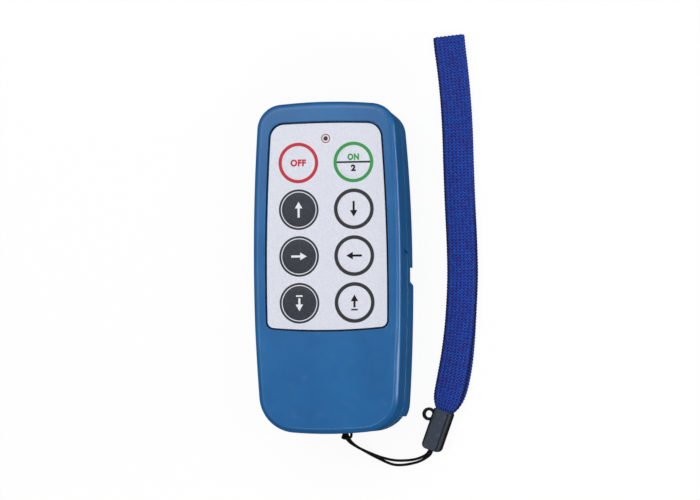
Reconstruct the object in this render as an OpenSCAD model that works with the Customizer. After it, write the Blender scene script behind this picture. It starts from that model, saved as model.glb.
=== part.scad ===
// Hand-held radio remote control for a crane, with eight keys, two cells and a wrist strap.
// It lies on its back. +Z points out of the keypad and +Y to the end with the indicator.
// The origin is the middle of the case's outline, on the surface that the case lies on.

/* [Case] */
// Length of the case
case_l = 130; // [126:1:142]
// Width of the case at its middle
case_w = 59; // [57:0.5:64]
// Depth of the case from its back to the rim of the keypad
case_h = 28; // [27.5:0.5:34]
// Depth of the front shell down to the parting line
front_shell_h = 4; // [3.6:0.1:4.4]
// Wall of both shells
shell_wall = 2; // [1.8:0.1:2.2]
// Radius of the bow in the long sides
side_bow_r = 800; // [600:50:2000]
// Radius of the bow in the top end
top_bow_r = 200; // [150:10:400]
// Radius of the bow in the bottom end
bottom_bow_r = 165; // [140:5:400]
// Radius of the two top corners
top_corner_r = 10; // [8:0.5:12]
// Radius of the two bottom corners
bottom_corner_r = 14.5; // [12:0.5:16]
// Rounding of the front edge
front_fillet_r = 2.4; // [1.6:0.1:3]
// Rounding of the back edge
back_fillet_r = 1.4; // [0.8:0.1:1.8]
// Step from the front shell's side in to the rear shell's side
shell_step = 0.4; // [0.2:0.1:0.6]
// Fall of the front face between the keypad and the bottom end
palm_drop = 1.2; // [0.6:0.1:1.4]
// Rise of the back at the top end
top_rise = 3; // [1:0.5:4]
// Rise of the back at the bottom end
bottom_rise = 2.5; // [1:0.5:3]
// Distance by which the rear shell's top end is drawn in at the back
top_draft = 2; // [0:0.5:2.5]
// Length of the part of the back that rises to the top end
top_rise_l = 60; // [40:2:62]
// Length of the part of the back that rises to the bottom end
bottom_rise_l = 17; // [12:1:20]
// Depth of the groove along the rear shell's side
groove_depth = 0.4; // [0.2:0.1:0.6]
// Height of the groove along the rear shell's side
groove_h = 0.8; // [0.6:0.1:1.2]

/* [Keypad sheet] */
// Greatest width of the sheet
sheet_w = 48.8; // [48:0.2:50]
// Length of the sheet
sheet_l = 81.8; // [80:0.2:84]
// Width of the rim above the sheet
sheet_top_margin = 8; // [7:0.5:9]
// Radius of the bow in the sheet's long sides
sheet_bow_r = 850; // [600:50:2000]
// Radius of the bow in the sheet's top edge
sheet_top_bow_r = 400; // [200:20:600]
// Radius of the bow in the sheet's bottom edge
sheet_bottom_bow_r = 240; // [160:20:600]
// Radius of the sheet's top corners
sheet_top_corner_r = 6; // [4:0.5:8]
// Radius of the sheet's bottom corners
sheet_bottom_corner_r = 3; // [2:0.5:5]
// Thickness of the sheet
sheet_t = 0.5; // [0.3:0.1:0.6]
// Depth of the sheet's face below the rim
sheet_sink = 0.5; // [0.2:0.1:0.6]
// Thickness of the shell under the sheet
panel_t = 1.6; // [1.4:0.1:2]

/* [Keys] */
// Spacing of the two columns of keys
column_pitch = 22; // [21:0.5:23]
// Spacing of the rows of keys
row_pitch = 18.3; // [17.5:0.1:18.6]
// Distance from the case's top end to the first row
first_row_from_top = 23.9; // [22:0.1:25]
// Radius of the raised film disc on a key
key_disc_r = 6; // [5.6:0.1:6.2]
// Height of the film disc above the sheet
key_disc_proud = 0.1; // [0.1:0.05:0.3]
// Rounding of the film disc's edge
key_disc_edge = 0.2; // [0.1:0.05:0.3]
// Radius of a key's window and of its bore in the front shell
key_bore_r = 6.3; // [6.1:0.1:6.6]
// Travel of a key
key_travel = 0.5; // [0.3:0.1:0.6]
// Radius of the flange that keeps a plunger in the shell
flange_r = 7.2; // [6.9:0.1:7.6]
// Thickness of that flange
flange_t = 0.8; // [0.6:0.1:1]
// Radius of a switch's stem
stem_r = 1.75; // [1.4:0.05:2]
// Height of the stem above its switch
stem_proud = 0.85; // [0.75:0.05:1.1]
// Length of the stem inside its switch
stem_in = 1.4; // [1:0.1:1.5]
// Side of a switch's square housing
switch_w = 6; // [5.5:0.1:6.5]
// Height of a switch's housing, and the width of its metal lid as a share of its side
switch_h = 2.6; // [2.5:0.1:3]
switch_lid_share = 0.9; // [0.8:0.05:0.95]

/* [Indicator] */
// Distance from the case's top end to the indicator
indicator_from_top = 14.5; // [13.5:0.1:15]
// Radius of the lens where it shows
lens_nose_r = 0.8; // [0.6:0.1:1]
// Radius of the lens in the shell
lens_r = 1.5; // [1.3:0.1:1.8]
// Radius of the lens flange
lens_flange_r = 2.2; // [2:0.1:2.6]
// Thickness of the lens flange
lens_flange_t = 0.7; // [0.5:0.1:0.9]
// Radius of the light-emitting diode
diode_r = 1.4; // [1.2:0.1:1.6]

/* [Circuit board] */
// Thickness of the board
board_t = 1.6; // [1.2:0.1:1.8]
// Width left free between the case's outline and the board
board_inset = 4.2; // [3.6:0.1:5]
// Length of the board from its top edge down
board_l = 96; // [90:1:98]
// Length and width of the radio module, and of the metal can on it as shares of these
radio_l = 20; // [18:0.5:21]
radio_w = 11; // [9:0.5:12]
can_l_share = 0.55; // [0.5:0.05:0.6]
can_w_share = 0.84; // [0.7:0.02:0.9]
// Distance of the can from the module's lower edge, as a share of the module's length
can_start_share = 0.1; // [0.05:0.05:0.3]
// Distances of the antenna, the radio module and the microcontroller from the case's top end
antenna_from_top = 15; // [14.5:0.5:16]
radio_from_top = 31; // [30:0.5:33]
controller_from_top = 52; // [51:0.5:53]
// Distances of the memory chip, the crystal and the capacitors from the case's top end
memory_from_top = 62.5; // [62:0.5:63]
crystal_from_top = 71; // [70.5:0.5:73]
capacitor_from_top = 90; // [88:0.5:91]
// Distance of each capacitor from the middle
capacitor_x = 4.4; // [4:0.1:5]
// Length and width of the microcontroller
controller_l = 10.2; // [9:0.2:11]
controller_w = 5.3; // [4:0.1:6]
// Length and width of the memory chip
memory_l = 4.9; // [4:0.1:6]
memory_w = 3.9; // [3:0.1:5]
// Pins of the microcontroller and of the memory chip
controller_pins = 16; // [14:2:20]
memory_pins = 8; // [8:2:10]
// Height of both chips
chip_h = 1.8; // [1.4:0.1:2.2]
// Reach and width of a pin beside its chip, and the chip's height above the board
pin_reach = 0.9; // [0.7:0.1:1.2]
pin_w = 0.45; // [0.3:0.05:0.5]
chip_lift = 0.1; // [0.05:0.05:0.2]
// Length, width and height of the crystal's can
crystal_l = 10.5; // [9:0.5:11]
crystal_w = 4.5; // [4:0.1:5]
crystal_h = 3.5; // [2.5:0.1:3.8]
// Radius and height of a capacitor
capacitor_r = 2; // [1.5:0.1:2.4]
capacitor_h = 3.6; // [3:0.1:4]
// Radius of the antenna's coil, to the middle of its wire
antenna_r = 2.2; // [1.8:0.1:2.6]
// Turns of the antenna's coil
antenna_turns = 8; // [5:1:9]
// Spacing of its turns
antenna_pitch = 1.7; // [1.5:0.1:2]
// Thickness of its wire
antenna_wire_d = 0.8; // [0.6:0.1:1]

/* [Cells] */
// Length of a cell with its button
cell_l = 50.5; // [49.5:0.5:51]
// Radius of a cell
cell_r = 7.25; // [7:0.05:7.3]
// Length and radius of a cell's button
cell_button_l = 1.3; // [1:0.1:1.6]
cell_button_r = 2.75; // [2.4:0.1:3]
// Rounding of a cell's shoulders
cell_edge_r = 0.8; // [0.4:0.1:1.2]
// Gap between the two cells
cell_gap = 0.4; // [0.3:0.1:0.6]
// Clearance round a cell in its bay
cell_clear = 0.25; // [0.2:0.05:0.4]
// Thickness of a contact plate
plate_t = 0.4; // [0.3:0.05:0.5]
// Width and height of a contact plate
plate_w = 11; // [9:0.5:12]
// Width of a contact plate's tail to the board
tail_w = 2.2; // [1.8:0.1:2.6]
// Length of a compressed contact spring
spring_l = 2.2; // [2:0.1:2.6]
// Turns of a contact spring
spring_turns = 2; // [1:1:2]
// Largest and smallest radius of a contact spring
spring_big_r = 3.8; // [3:0.1:4.5]
spring_small_r = 2.6; // [2:0.1:3]
// Thickness of the spring wire
spring_wire_d = 0.5; // [0.4:0.05:0.6]
// Wall of the cell bay
bay_wall = 1.2; // [1:0.1:1.6]

/* [Battery cover] */
// Distance from the case's bottom end to the cover
cover_from_bottom = 6.6; // [6:0.1:8]
// Height of the cover's side walls
cover_h = 11.5; // [10:0.5:13]
// Thickness of the cover's side walls
cover_wall = 1.6; // [1.2:0.1:2]
// Thickness of the cover's floor
cover_t = 1.8; // [1.6:0.1:2.2]
// Distance by which the cover's sides stand out from the rear shell's
cover_proud = 0.3; // [0:0.1:0.4]
// Gap round the cover
cover_gap = 0.2; // [0.15:0.05:0.3]
// Lean of the joint at the cover's upper end, as millimetres per millimetre
cover_lean_share = 0.15; // [0.14:0.01:0.2]
// Length, depth and height of the two finger recesses
recess_l = 5.3; // [4:0.1:7]
recess_depth = 1.6; // [1:0.1:2]
recess_h = 6.5; // [5:0.5:8]
// Length of the slant at the cover's upper corners
slant_l = 1.9; // [1:0.1:3]
// Width, length and thickness of a tab on the cover's lower edge
tab_w = 4; // [3:0.5:5]
tab_l = 2; // [1.5:0.1:2.2]
tab_t = 1.2; // [1:0.1:1.4]
// Height of a tab above the cover's floor
tab_lift = 0.8; // [0.6:0.1:1]
// Height of a tab's slot, as a share of the tab's thickness
tab_slot_share = 2.4; // [2.2:0.1:2.6]
// Distance of the tabs and latches from the cover's sides
tab_from_side = 9; // [8.5:0.5:10]
// Height of a latch, as a share of the finger recess's height
latch_share = 0.7; // [0.5:0.05:0.8]
// Width and height of a snap slot in the rear shell's side, and its distance from the finger recess
catch_w = 1.2; // [1:0.1:1.4]
catch_h = 5.5; // [4:0.5:6]
catch_from_recess = 5.95; // [5:0.05:8]
// Thickness of the block behind a finger recess, as a share of the shell's wall
pod_wall_share = 3; // [2.5:0.1:3]

/* [Fasteners] */
// Radius of a case screw's shank
case_screw_r = 1.2; // [1:0.1:1.4]
// Radius and height of its head
case_head_r = 2.3; // [2:0.1:2.5]
case_head_h = 1.8; // [1.4:0.1:2]
// Length of its shank
case_screw_l = 10; // [9:0.5:10.5]
// Height of its end above the parting line
case_screw_past = 0.4; // [0.3:0.1:0.6]
// Radius of a boss for a case screw in the rear shell
rear_boss_r = 3.4; // [3.2:0.1:3.6]
// Radius of a boss for a case screw in the front shell
front_boss_r = 2.9; // [2.4:0.1:3]
// Distance of the upper case screws from the case's side
upper_screw_from_side = 8; // [7.5:0.5:9]
// Distance of the upper case screws from the top end
upper_screw_from_top = 10.5; // [10:0.5:12]
// Distance of the lower case screws from the case's side
lower_screw_from_side = 8.5; // [8:0.5:9]
// Distance of the lower case screws from the bottom end
lower_screw_from_bottom = 17; // [16:0.5:20]
// Radius of a board screw's shank
board_screw_r = 0.8; // [0.7:0.05:0.9]
// Radius and height of its head
board_head_r = 1.7; // [1.5:0.1:1.9]
board_head_h = 1.1; // [0.9:0.1:1.2]
// Radius of a board boss
board_boss_r = 2.1; // [1.8:0.1:2.2]
// Distance of the board screws from the case's side
board_screw_from_side = 8.5; // [8.3:0.1:8.7]
// Distance of the upper board screws from the top end
board_screw_from_top = 19; // [18.5:0.1:19.5]
// Distance of the lower board screws from the board's lower edge
board_screw_from_edge = 5; // [4:0.5:6]
// Length, width and depth of the cross in a screw's head, as shares of the head
cross_l_share = 0.6; // [0.5:0.05:0.7]
cross_w_share = 0.12; // [0.1:0.01:0.15]
cross_depth_share = 0.5; // [0.4:0.05:0.6]
// Height and thickness of the seal between the shells
seal_h = 0.6; // [0.4:0.1:0.8]
seal_t = 0.7; // [0.5:0.1:0.8]

/* [Lanyard] */
// Radius and length of the lanyard pin
pin_r = 1.2; // [1:0.1:1.3]
pin_l = 13; // [12:0.5:14]
// Place of the pin's middle along the bottom end
pin_x = 3.6; // [0:0.1:5]
// Height of the pin
pin_z = 9; // [8.8:0.1:9.2]
// Distance of the pin from the case's bottom end
pin_from_bottom = 2.2; // [2.1:0.05:2.3]
// Width, height and depth of the pocket round the pin
pocket_w = 8; // [7:0.5:9]
pocket_h = 7.2; // [7:0.1:7.4]
pocket_d = 4.8; // [4.6:0.1:5]
// Thickness of the lanyard cord
cord_d = 0.9; // [0.8:0.05:1]

/* [Clamp] */
// Length, width and height of the cord clamp
clamp_l = 16.4; // [15:0.1:18]
clamp_w = 8; // [7.5:0.5:10]
clamp_h = 5; // [4.8:0.1:6]
// Radius of the clamp's lower corners
clamp_corner_r = 2; // [1:0.1:3]
// Radius of the clamp's upper corners
clamp_top_corner_r = 0.6; // [0.4:0.1:1]
// Distance of the clamp's middle from the case's side and from the line of its bottom end
clamp_from_side = 9.25; // [9:0.05:12]
clamp_from_bottom = 1; // [0:0.1:4]
// Turn of the clamp away from the case's length, in degrees
clamp_turn = 20; // [0:1:30]
// Thickness of the clamp's cover
clamp_cover_t = 0.9; // [0.6:0.1:1]
// Width of the strip beside the clamp's cover
clamp_strip_w = 1.3; // [1:0.1:2]
// Gap between the cover and that strip
clamp_seam = 0.15; // [0.1:0.05:0.2]
// Outer radius, hole radius and thickness of the side ring
ring_r = 2.6; // [2.4:0.1:3]
ring_hole_r = 1.4; // [1.2:0.1:1.6]
ring_t = 2; // [1.6:0.1:2.4]
// Distance of the ring's middle from the clamp's mouth
ring_from_mouth = 3.2; // [2.8:0.1:5]

/* [Strap] */
// Width of the webbing
strap_w = 12; // [10:0.5:14]
// Thickness of the webbing
strap_t = 1.3; // [1:0.1:1.4]
// Length of the doubled strap from the clamp's mouth to its fold
strap_l = 146.6; // [130:0.2:160]
// Width of the webbing where the clamp gathers it
strap_neck_w = 6.6; // [5:0.2:7]
// Length of webbing inside the clamp
strap_in = 6; // [4:0.5:7]
// Gap between the strap's two layers
layer_gap = 0.3; // [0.3:0.05:0.4]
// Lean of the strap away from the case's length, in degrees
strap_lean = 1.2; // [0:0.1:3]

/* [Hidden] */
$fn = 64;
// Overrun of a cut past the face that it goes through
over = 1;
// Play between a plunger and its bore
slide_gap = 0.08;
// Play between fixed pieces
fit_gap = 0.1;
// Play of a stem, a lens and a screw in their holes
stem_gap = 0.1;
touch_gap = 0.05;
hole_gap = 0.2;

KEYS = ["stop", "start", "up", "down", "east", "west", "south", "north"];
KEY_COLORS = ["white", "white", "#454d56", "white", "#454d56", "white", "#454d56", "white"];

CASE_BLUE = "#2f6da5";
BOARD_GREEN = "#1f6b3a";
METAL = "#b9bcc0";
BLACK = "#1c1d20";

sheet_mid_share = 0.23;
half_l = case_l / 2;
half_w = case_w / 2;
split_z = case_h - front_shell_h;
sheet_top = case_h - sheet_sink;
panel_top = sheet_top - sheet_t;
panel_under = panel_top - panel_t;
flange_top = panel_under - fit_gap;
stem_top = flange_top - flange_t - touch_gap;
switch_top = stem_top - stem_proud;
board_top = switch_top - switch_h;
board_under = board_top - board_t;

sheet_y1 = half_l - sheet_top_margin;
sheet_y0 = sheet_y1 - sheet_l;
// Height along the case where the sheet is widest
sheet_mid_y = sheet_y0 + sheet_l * sheet_mid_share;
// The front face falls and the back rises only outside these places
palm_y = sheet_y0;
back_flat_y0 = -half_l + bottom_rise_l;
back_flat_y1 = half_l - top_rise_l;
indicator_y = half_l - indicator_from_top;

cell_z = cover_t + cell_clear + cell_r;
bay_top = cell_z + cell_r + cell_clear;
tray_top = bay_top + bay_wall;
cover_y0 = -half_l + cover_from_bottom;
bay_y0 = cover_y0 + cover_gap + touch_gap;
bay_l = cell_l + 2 * plate_t + spring_l;
bay_y1 = bay_y0 + bay_l;
cover_y1 = bay_y1 - plate_t;
bay_half_w = 2 * cell_r + cell_gap / 2 + cell_clear;
tray_half_w = bay_half_w + bay_wall;
cell_x = cell_r + cell_gap / 2;
shelf_top = cover_h + shell_wall - hole_gap;
recess_y1 = cover_y1 + recess_l;
// How far the screws reach into the bosses of the front shell
screw_seat_z = split_z + case_screw_past - case_screw_l;
screw_reach = case_screw_past + touch_gap;
board_screw_reach = panel_under - board_top - over;
// Place and depth of the seal's groove, from the case's outline
seal_in = shell_step + (shell_wall - seal_t) / 2;
pocket_top = pin_z + pocket_h / 2;
// Inner side of the blocks behind the finger recesses
pod_x = half_w - recess_depth - pod_wall_share * shell_wall;
tab_x = half_w - tab_from_side;
tab_z = cover_t + tab_lift;
tab_room = tab_slot_share * tab_t;
latch_h = latch_share * recess_h;
switch_lid_w = switch_lid_share * switch_w;
catch_y = recess_y1 + catch_from_recess;
catch_z = cover_h + groove_h / 2;
board_y1 = half_l - board_inset;
board_screw_high_y = half_l - board_screw_from_top;
board_screw_low_y = board_y1 - board_l + board_screw_from_edge;
upper_screw_x = half_w - upper_screw_from_side;
lower_screw_x = half_w - lower_screw_from_side;
board_screw_x = half_w - board_screw_from_side;
antenna_y = half_l - antenna_from_top;
radio_y = half_l - radio_from_top;
controller_y = half_l - controller_from_top;
memory_y = half_l - memory_from_top;
crystal_y = half_l - crystal_from_top;
capacitor_y = half_l - capacitor_from_top;
cord_in = 2.8;
clamp_x = half_w + clamp_from_side;
clamp_y = -half_l + clamp_from_bottom;
ring_x = -clamp_w / 2 - ring_hole_r;
mouth_w = strap_neck_w + 2 * fit_gap;
mouth_h = 2 * strap_t + layer_gap + 3 * fit_gap;
mouth_z = (clamp_h - clamp_cover_t - mouth_h) / 2;
mouth_mid = mouth_z + mouth_h / 2;

END_STEPS = 3;
CORNER_STEPS = 8;
SIDE_STEPS = 12;
COIL_STEPS = 8;
CASE = [half_w, 0, side_bow_r, half_l, top_bow_r, top_corner_r, -half_l, bottom_bow_r, bottom_corner_r];
SHEET = [sheet_w / 2, sheet_mid_y, sheet_bow_r, sheet_y1, sheet_top_bow_r, sheet_top_corner_r,
    sheet_y0, sheet_bottom_bow_r, sheet_bottom_corner_r];

function key_place(key) =
    [(key % 2 - 0.5) * column_pitch, half_l - first_row_from_top - floor(key / 2) * row_pitch];
function case_screw_places() = [for (side = [-1, 1]) each [
    [side * upper_screw_x, half_l - upper_screw_from_top],
    [side * lower_screw_x, -half_l + lower_screw_from_bottom]]];
function board_screw_places() = [for (side = [-1, 1]) each [
    [side * board_screw_x, board_screw_high_y], [side * board_screw_x, board_screw_low_y]]];

// Way of the cord on the surface, from the clamp to the pin: share of the way from the pin to the
// clamp, distance along the case from the pin, and height
CORD_OUT = [[0.9303, -6.2, 2.1], [0.9033, -8.9, 2.1], [0.845, -11, 1], [0.7112, -12.6, 0.55],
    [0.5235, -12.9, 0.55], [0.367, -11.8, 1], [0.239, -10.1, 1.7], [0.1309, -8.3, 2.8]];
// Turns of the cord round the pin and its own bight, from the pin's middle
CORD_TURNS = [[2.3, -6.6, -4.2], [1.1, -4.8, -1.4], [0.55, -2.6, 1], [0.5, 0, 1.95], [0.55, 1.4, 1.35],
    [0.7, 1.95, 0], [0.9, 1.4, -1.4], [1.2, 0, -1.95], [1.45, -1.6, -1.75], [1.65, -2.9, -0.9],
    [1.65, -3.5, 0.5], [1.15, -3.8, 1.75], [0, -4, 2.35], [-1.1, -3.8, 1.75], [-1.55, -3.5, 0.5],
    [-1.55, -2.9, -0.9], [-1.5, -1.6, -1.75], [-1.4, 0, -1.95], [-1.15, 1.4, -1.4], [-0.8, 1.95, 0],
    [-0.6, 1.4, 1.35], [-0.55, 0, 1.95], [-0.5, -2.6, 0.95], [0.05, -4.8, -2], [1.7, -6.6, -5.2]];
// Way back to the clamp
CORD_BACK = [[0.1422, -8.7, 1.3], [0.2959, -11.7, 0.55], [0.5036, -14.6, 0.55], [0.734, -13.8, 0.55],
    [0.8848, -11.3, 1.25], [0.9346, -8.9, 2.1], [0.9573, -6.6, 2.1]];

lanyard_y = -half_l + pin_from_bottom;
function laid_out(p) = [pin_x + p[0] * (clamp_x - pin_x), lanyard_y + p[1], p[2]];
function cord_route() = concat(
    [for (p = CORD_OUT) laid_out(p)],
    [for (p = CORD_TURNS) [pin_x, lanyard_y, pin_z] + p],
    [for (p = CORD_BACK) laid_out(p)]);

// Point where two circles meet: centres a and b, radii ra and rb, on the side of a to b's right
function meet(a, ra, b, rb, side) =
    let(d = norm(b - a), along = (ra * ra - rb * rb + d * d) / (2 * d))
    let(across = sqrt(ra * ra - along * along), u = (b - a) / d)
    a + along * u + side * across * [u[1], -u[0]];

function angle_of(v) = atan2(v[1], v[0]);
function arc_point(c, r, a) = c + r * [cos(a), sin(a)];

// Right half of a bowed outline with round corners, from its bottom middle to its top middle.
// shape = [half width, its y, side bow, top y, top bow, top corner, bottom y, bottom bow, corner]
function half_outline(shape, inset) =
    let(side_c = [shape[0] - shape[2], shape[1]], side_r = shape[2])
    let(top_c = [0, shape[3] - shape[4]], low_c = [0, shape[6] + shape[7]])
    let(tc = meet(side_c, side_r - shape[5], top_c, shape[4] - shape[5], -1))
    let(lc = meet(side_c, side_r - shape[8], low_c, shape[7] - shape[8], 1))
    let(t0 = angle_of(tc - side_c), t1 = angle_of(tc - top_c))
    let(l0 = angle_of(lc - low_c), l1 = angle_of(lc - side_c))
    concat(
        [for (i = [0:END_STEPS - 1])
            arc_point(low_c, shape[7] - inset, -90 + (l0 + 90) * (i + 0.5) / END_STEPS)],
        [for (i = [0:CORNER_STEPS])
            arc_point(lc, shape[8] - inset, l0 + (l1 - l0) * i / CORNER_STEPS)],
        [for (i = [1:SIDE_STEPS - 1])
            arc_point(side_c, side_r - inset, l1 + (t0 - l1) * i / SIDE_STEPS)],
        [for (i = [0:CORNER_STEPS])
            arc_point(tc, shape[5] - inset, t0 + (t1 - t0) * i / CORNER_STEPS)],
        [for (i = [0:END_STEPS - 1])
            arc_point(top_c, shape[4] - inset, t1 + (90 - t1) * (i + 0.5) / END_STEPS)]);

function outline(shape, inset) =
    let(right = half_outline(shape, inset), n = len(right))
    concat(right, [for (i = [n - 1:-1:0]) [-right[i][0], right[i][1]]]);

module plate(shape, inset, z0, z1)
    translate([0, 0, z0]) linear_extrude(z1 - z0) polygon(outline(shape, inset));

function fall(y) = y < palm_y ? palm_drop * pow((palm_y - y) / (palm_y + half_l), 2) : 0;
function rise(y) =
    y < back_flat_y0 ? bottom_rise * pow((back_flat_y0 - y) / (back_flat_y0 + half_l), 2)
    : y > back_flat_y1 ? top_rise * pow((y - back_flat_y1) / (half_l - back_flat_y1), 2)
    : 0;
// The top end is drawn in towards the back
function drawn_in(y, z) = y - (y > 0 ? top_draft * y / half_l * (1 - z / split_z) : 0);

// A body built up from sections: [inset, height, follows the front's fall, follows the back's rise]
module loft(shape, sections, drafted) {
    n = len(half_outline(shape, 0));
    m = 2 * n;
    points = [for (s = sections) for (p = outline(shape, s[0]))
        [p[0], drafted ? drawn_in(p[1], s[1]) : p[1], s[1] - s[2] * fall(p[1]) + s[3] * rise(p[1])]];
    last = (len(sections) - 1) * m;
    sides = [for (k = [0:len(sections) - 2]) for (i = [0:m - 1])
        let(a = k * m + i, b = k * m + (i + 1) % m)
        each [[a, a + m, b + m], [a, b + m, b]]];
    bottom = [for (i = [0:n - 2]) let(r = i, l = m - 1 - i)
        each [[r, r + 1, l - 1], [r, l - 1, l]]];
    top = [for (i = [0:n - 2]) let(r = last + i, l = last + m - 1 - i)
        each [[r, l, l - 1], [r, l - 1, r + 1]]];
    polyhedron(points, concat(sides, bottom, top), convexity = 4);
}

module rear_body(inset) {
    groove = [[0, -groove_h / 2], [groove_depth, -groove_h / 4],
        [groove_depth, groove_h / 4], [0, groove_h / 2]];
    loft(CASE, concat(
        [for (a = [0:30:90]) [inset + back_fillet_r * (1 - sin(a)), back_fillet_r * (1 - cos(a)), 0, 1]],
        [for (g = groove) [inset + g[0], cover_h + groove_h / 2 + g[1], 0, 0]],
        [[inset, split_z, 0, 0]]), true);
}

module front_shell() color(CASE_BLUE) {
    rounding = [for (a = [0:22.5:90])
        [front_fillet_r * (1 - cos(a)), case_h - front_fillet_r * (1 - sin(a)), 1, 0]];
    difference() {
        union() {
            difference() {
                loft(CASE, concat([[0, split_z, 0, 0]], rounding), false);
                plate(CASE, shell_wall, split_z - over, panel_under);
            }
            for (p = case_screw_places())
                translate([p[0], p[1], split_z - shell_wall])
                    cylinder(r = front_boss_r, h = panel_under + touch_gap - split_z + shell_wall);
            for (p = board_screw_places())
                translate([p[0], p[1], board_top])
                    cylinder(r = board_boss_r, h = panel_under + touch_gap - board_top);
        }
        plate(SHEET, -fit_gap, panel_top, case_h + over);
        for (key = [0:len(KEYS) - 1])
            translate(concat(key_place(key), panel_under - over))
                cylinder(r = key_bore_r, h = panel_t + 2 * over);
        translate([0, indicator_y, panel_under - over])
            cylinder(r = lens_r + stem_gap, h = panel_t + 2 * over);
        for (p = case_screw_places())
            translate([p[0], p[1], split_z - shell_wall - over])
                cylinder(r = case_screw_r + touch_gap, h = shell_wall + over + screw_reach);
        for (p = board_screw_places())
            translate([p[0], p[1], board_top - over])
                cylinder(r = board_screw_r + touch_gap, h = over + board_screw_reach + touch_gap);
    }
}

// Room for the cover in the rear shell, with the lean of its upper joint
module cover_room() {
    lean = cover_lean_share * cover_h;
    rotate([90, 0, 90]) translate([0, 0, -case_w]) linear_extrude(2 * case_w)
        polygon([[cover_y0, -over], [cover_y1, -over], [cover_y1, 0],
            [cover_y1 - lean, cover_h], [cover_y0, cover_h]]);
}

module tray_block(grow)
    translate([-tray_half_w, cover_y0 - bay_wall, cover_t + grow])
        cube([2 * tray_half_w, bay_y1 + bay_wall - cover_y0 + bay_wall, tray_top - cover_t - grow]);

module rear_shell() color(CASE_BLUE) difference() {
    rear_body(shell_step);
    difference() {
        loft(CASE, [[shell_step + shell_wall, shell_wall, 0, 1],
            [shell_step + shell_wall, split_z + over, 0, 0]], true);
        tray_block(0);
        translate([-case_w, -half_l, 0])
            cube([2 * case_w, half_l + bay_y1 + bay_wall, shelf_top]);
        for (side = [-1, 1])
            translate([side > 0 ? pod_x : -case_w, 0, 0])
                translate([0, bay_y1, 0])
                    cube([case_w - pod_x, recess_y1 + shell_wall - bay_y1, shelf_top]);
        translate([pin_x - pin_l / 2 - bay_wall, -half_l, 0])
            cube([pin_l + 2 * bay_wall, cover_from_bottom, pocket_top + bay_wall]);
        for (p = case_screw_places()) translate([p[0], p[1], 0])
            cylinder(r = rear_boss_r, h = split_z - shell_wall - fit_gap);
    }
    difference() {
        cover_room();
        tray_block(fit_gap);
    }
    translate([-bay_half_w, bay_y0, cover_t - touch_gap])
        cube([2 * bay_half_w, bay_l, bay_top - cover_t + touch_gap]);
    for (side = [-1, 1]) {
        translate([side > 0 ? half_w - recess_depth : -half_w - case_w + recess_depth,
            cover_y1 - over, -over]) cube([case_w, recess_l + over, recess_h + over]);
        translate([side * tab_x - tab_w / 2 - hole_gap, cover_y0 - tab_l - 2 * hole_gap, tab_z - hole_gap])
            cube([tab_w + 2 * hole_gap, tab_l + over + 2 * hole_gap, tab_room]);
        translate([side * (half_w - shell_step) - catch_w / 2, catch_y - catch_w / 2, catch_z])
            cube([catch_w, catch_w, catch_h]);
        translate([side * cell_x - tail_w / 2 - fit_gap, bay_y1 - plate_t - fit_gap, bay_top - over])
            cube([tail_w + 2 * fit_gap, plate_t + 2 * fit_gap, bay_wall + 2 * over]);
    }
    difference() {
        plate(CASE, seal_in, split_z - seal_h - fit_gap, split_z + over);
        plate(CASE, seal_in + seal_t + fit_gap, split_z - seal_h - over, split_z + 2 * over);
    }
    translate([pin_x - pocket_w / 2, -half_l - over, pocket_top - pocket_h])
        cube([pocket_w, pocket_d + over, pocket_h]);
    translate([pin_x - pin_l / 2 - fit_gap, lanyard_y, pin_z]) rotate([0, 90, 0])
        cylinder(r = pin_r + touch_gap, h = pin_l + 2 * fit_gap);
    for (p = case_screw_places()) translate([p[0], p[1], -over]) {
        cylinder(r = case_head_r + hole_gap, h = screw_seat_z + over);
        cylinder(r = case_screw_r + hole_gap, h = split_z);
    }
}

module battery_cover() color(CASE_BLUE) {
    inset = shell_step - cover_proud;
    y1 = cover_y1 - cover_gap;
    y0 = cover_y0 + cover_gap;
    top = cover_h - cover_gap;
    lean = cover_lean_share * top;
    difference() {
        intersection() {
            loft(CASE, concat(
                [for (a = [0:30:90])
                    [inset + back_fillet_r * (1 - sin(a)), back_fillet_r * (1 - cos(a)), 0, 1]],
                [[inset, cover_h, 0, 0]]), true);
            rotate([90, 0, 90]) translate([0, 0, -case_w]) linear_extrude(2 * case_w)
                polygon([[y0, -over], [y1, -over], [y1, 0], [y1 - lean, top], [y0, top]]);
        }
        plate(CASE, inset + cover_wall, cover_t, cover_h + over);
        for (side = [-1, 1]) translate([side * half_w, y1, -over])
            linear_extrude(cover_h + 2 * over)
                polygon([[-side * recess_depth, over], [-side * recess_depth, 0],
                    [0, -slant_l], [side * over, -slant_l], [side * over, over]]);
    }
    for (side = [-1, 1]) {
        translate([side * tab_x - tab_w / 2, y0, rise(y0) + touch_gap])
            cube([tab_w, tab_t, tab_z + tab_t - rise(y0) - touch_gap]);
        translate([side * tab_x - tab_w / 2, y0 - tab_l, tab_z])
            cube([tab_w, tab_l + tab_t, tab_t]);
        translate([side * tab_x - tab_w / 2, y1 - lean - tab_t, cover_t - touch_gap])
            cube([tab_w, tab_t, latch_h]);
    }
}

module keypad_sheet() color("#dcdee2") difference() {
    plate(SHEET, 0, panel_top, sheet_top);
    for (key = [0:len(KEYS) - 1]) translate(concat(key_place(key), panel_top - over))
        cylinder(r = key_bore_r, h = sheet_t + 2 * over);
    translate([0, indicator_y, panel_top - over])
        cylinder(r = lens_nose_r + stem_gap, h = sheet_t + 2 * over);
}

module indicator_lens() color("#3b1114") translate([0, indicator_y, 0]) {
    translate([0, 0, panel_under - lens_flange_t]) cylinder(r = lens_flange_r, h = lens_flange_t);
    translate([0, 0, panel_under - touch_gap]) cylinder(r = lens_r, h = panel_t + touch_gap);
    translate([0, 0, panel_top - touch_gap]) cylinder(r = lens_nose_r, h = sheet_t);
}

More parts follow.
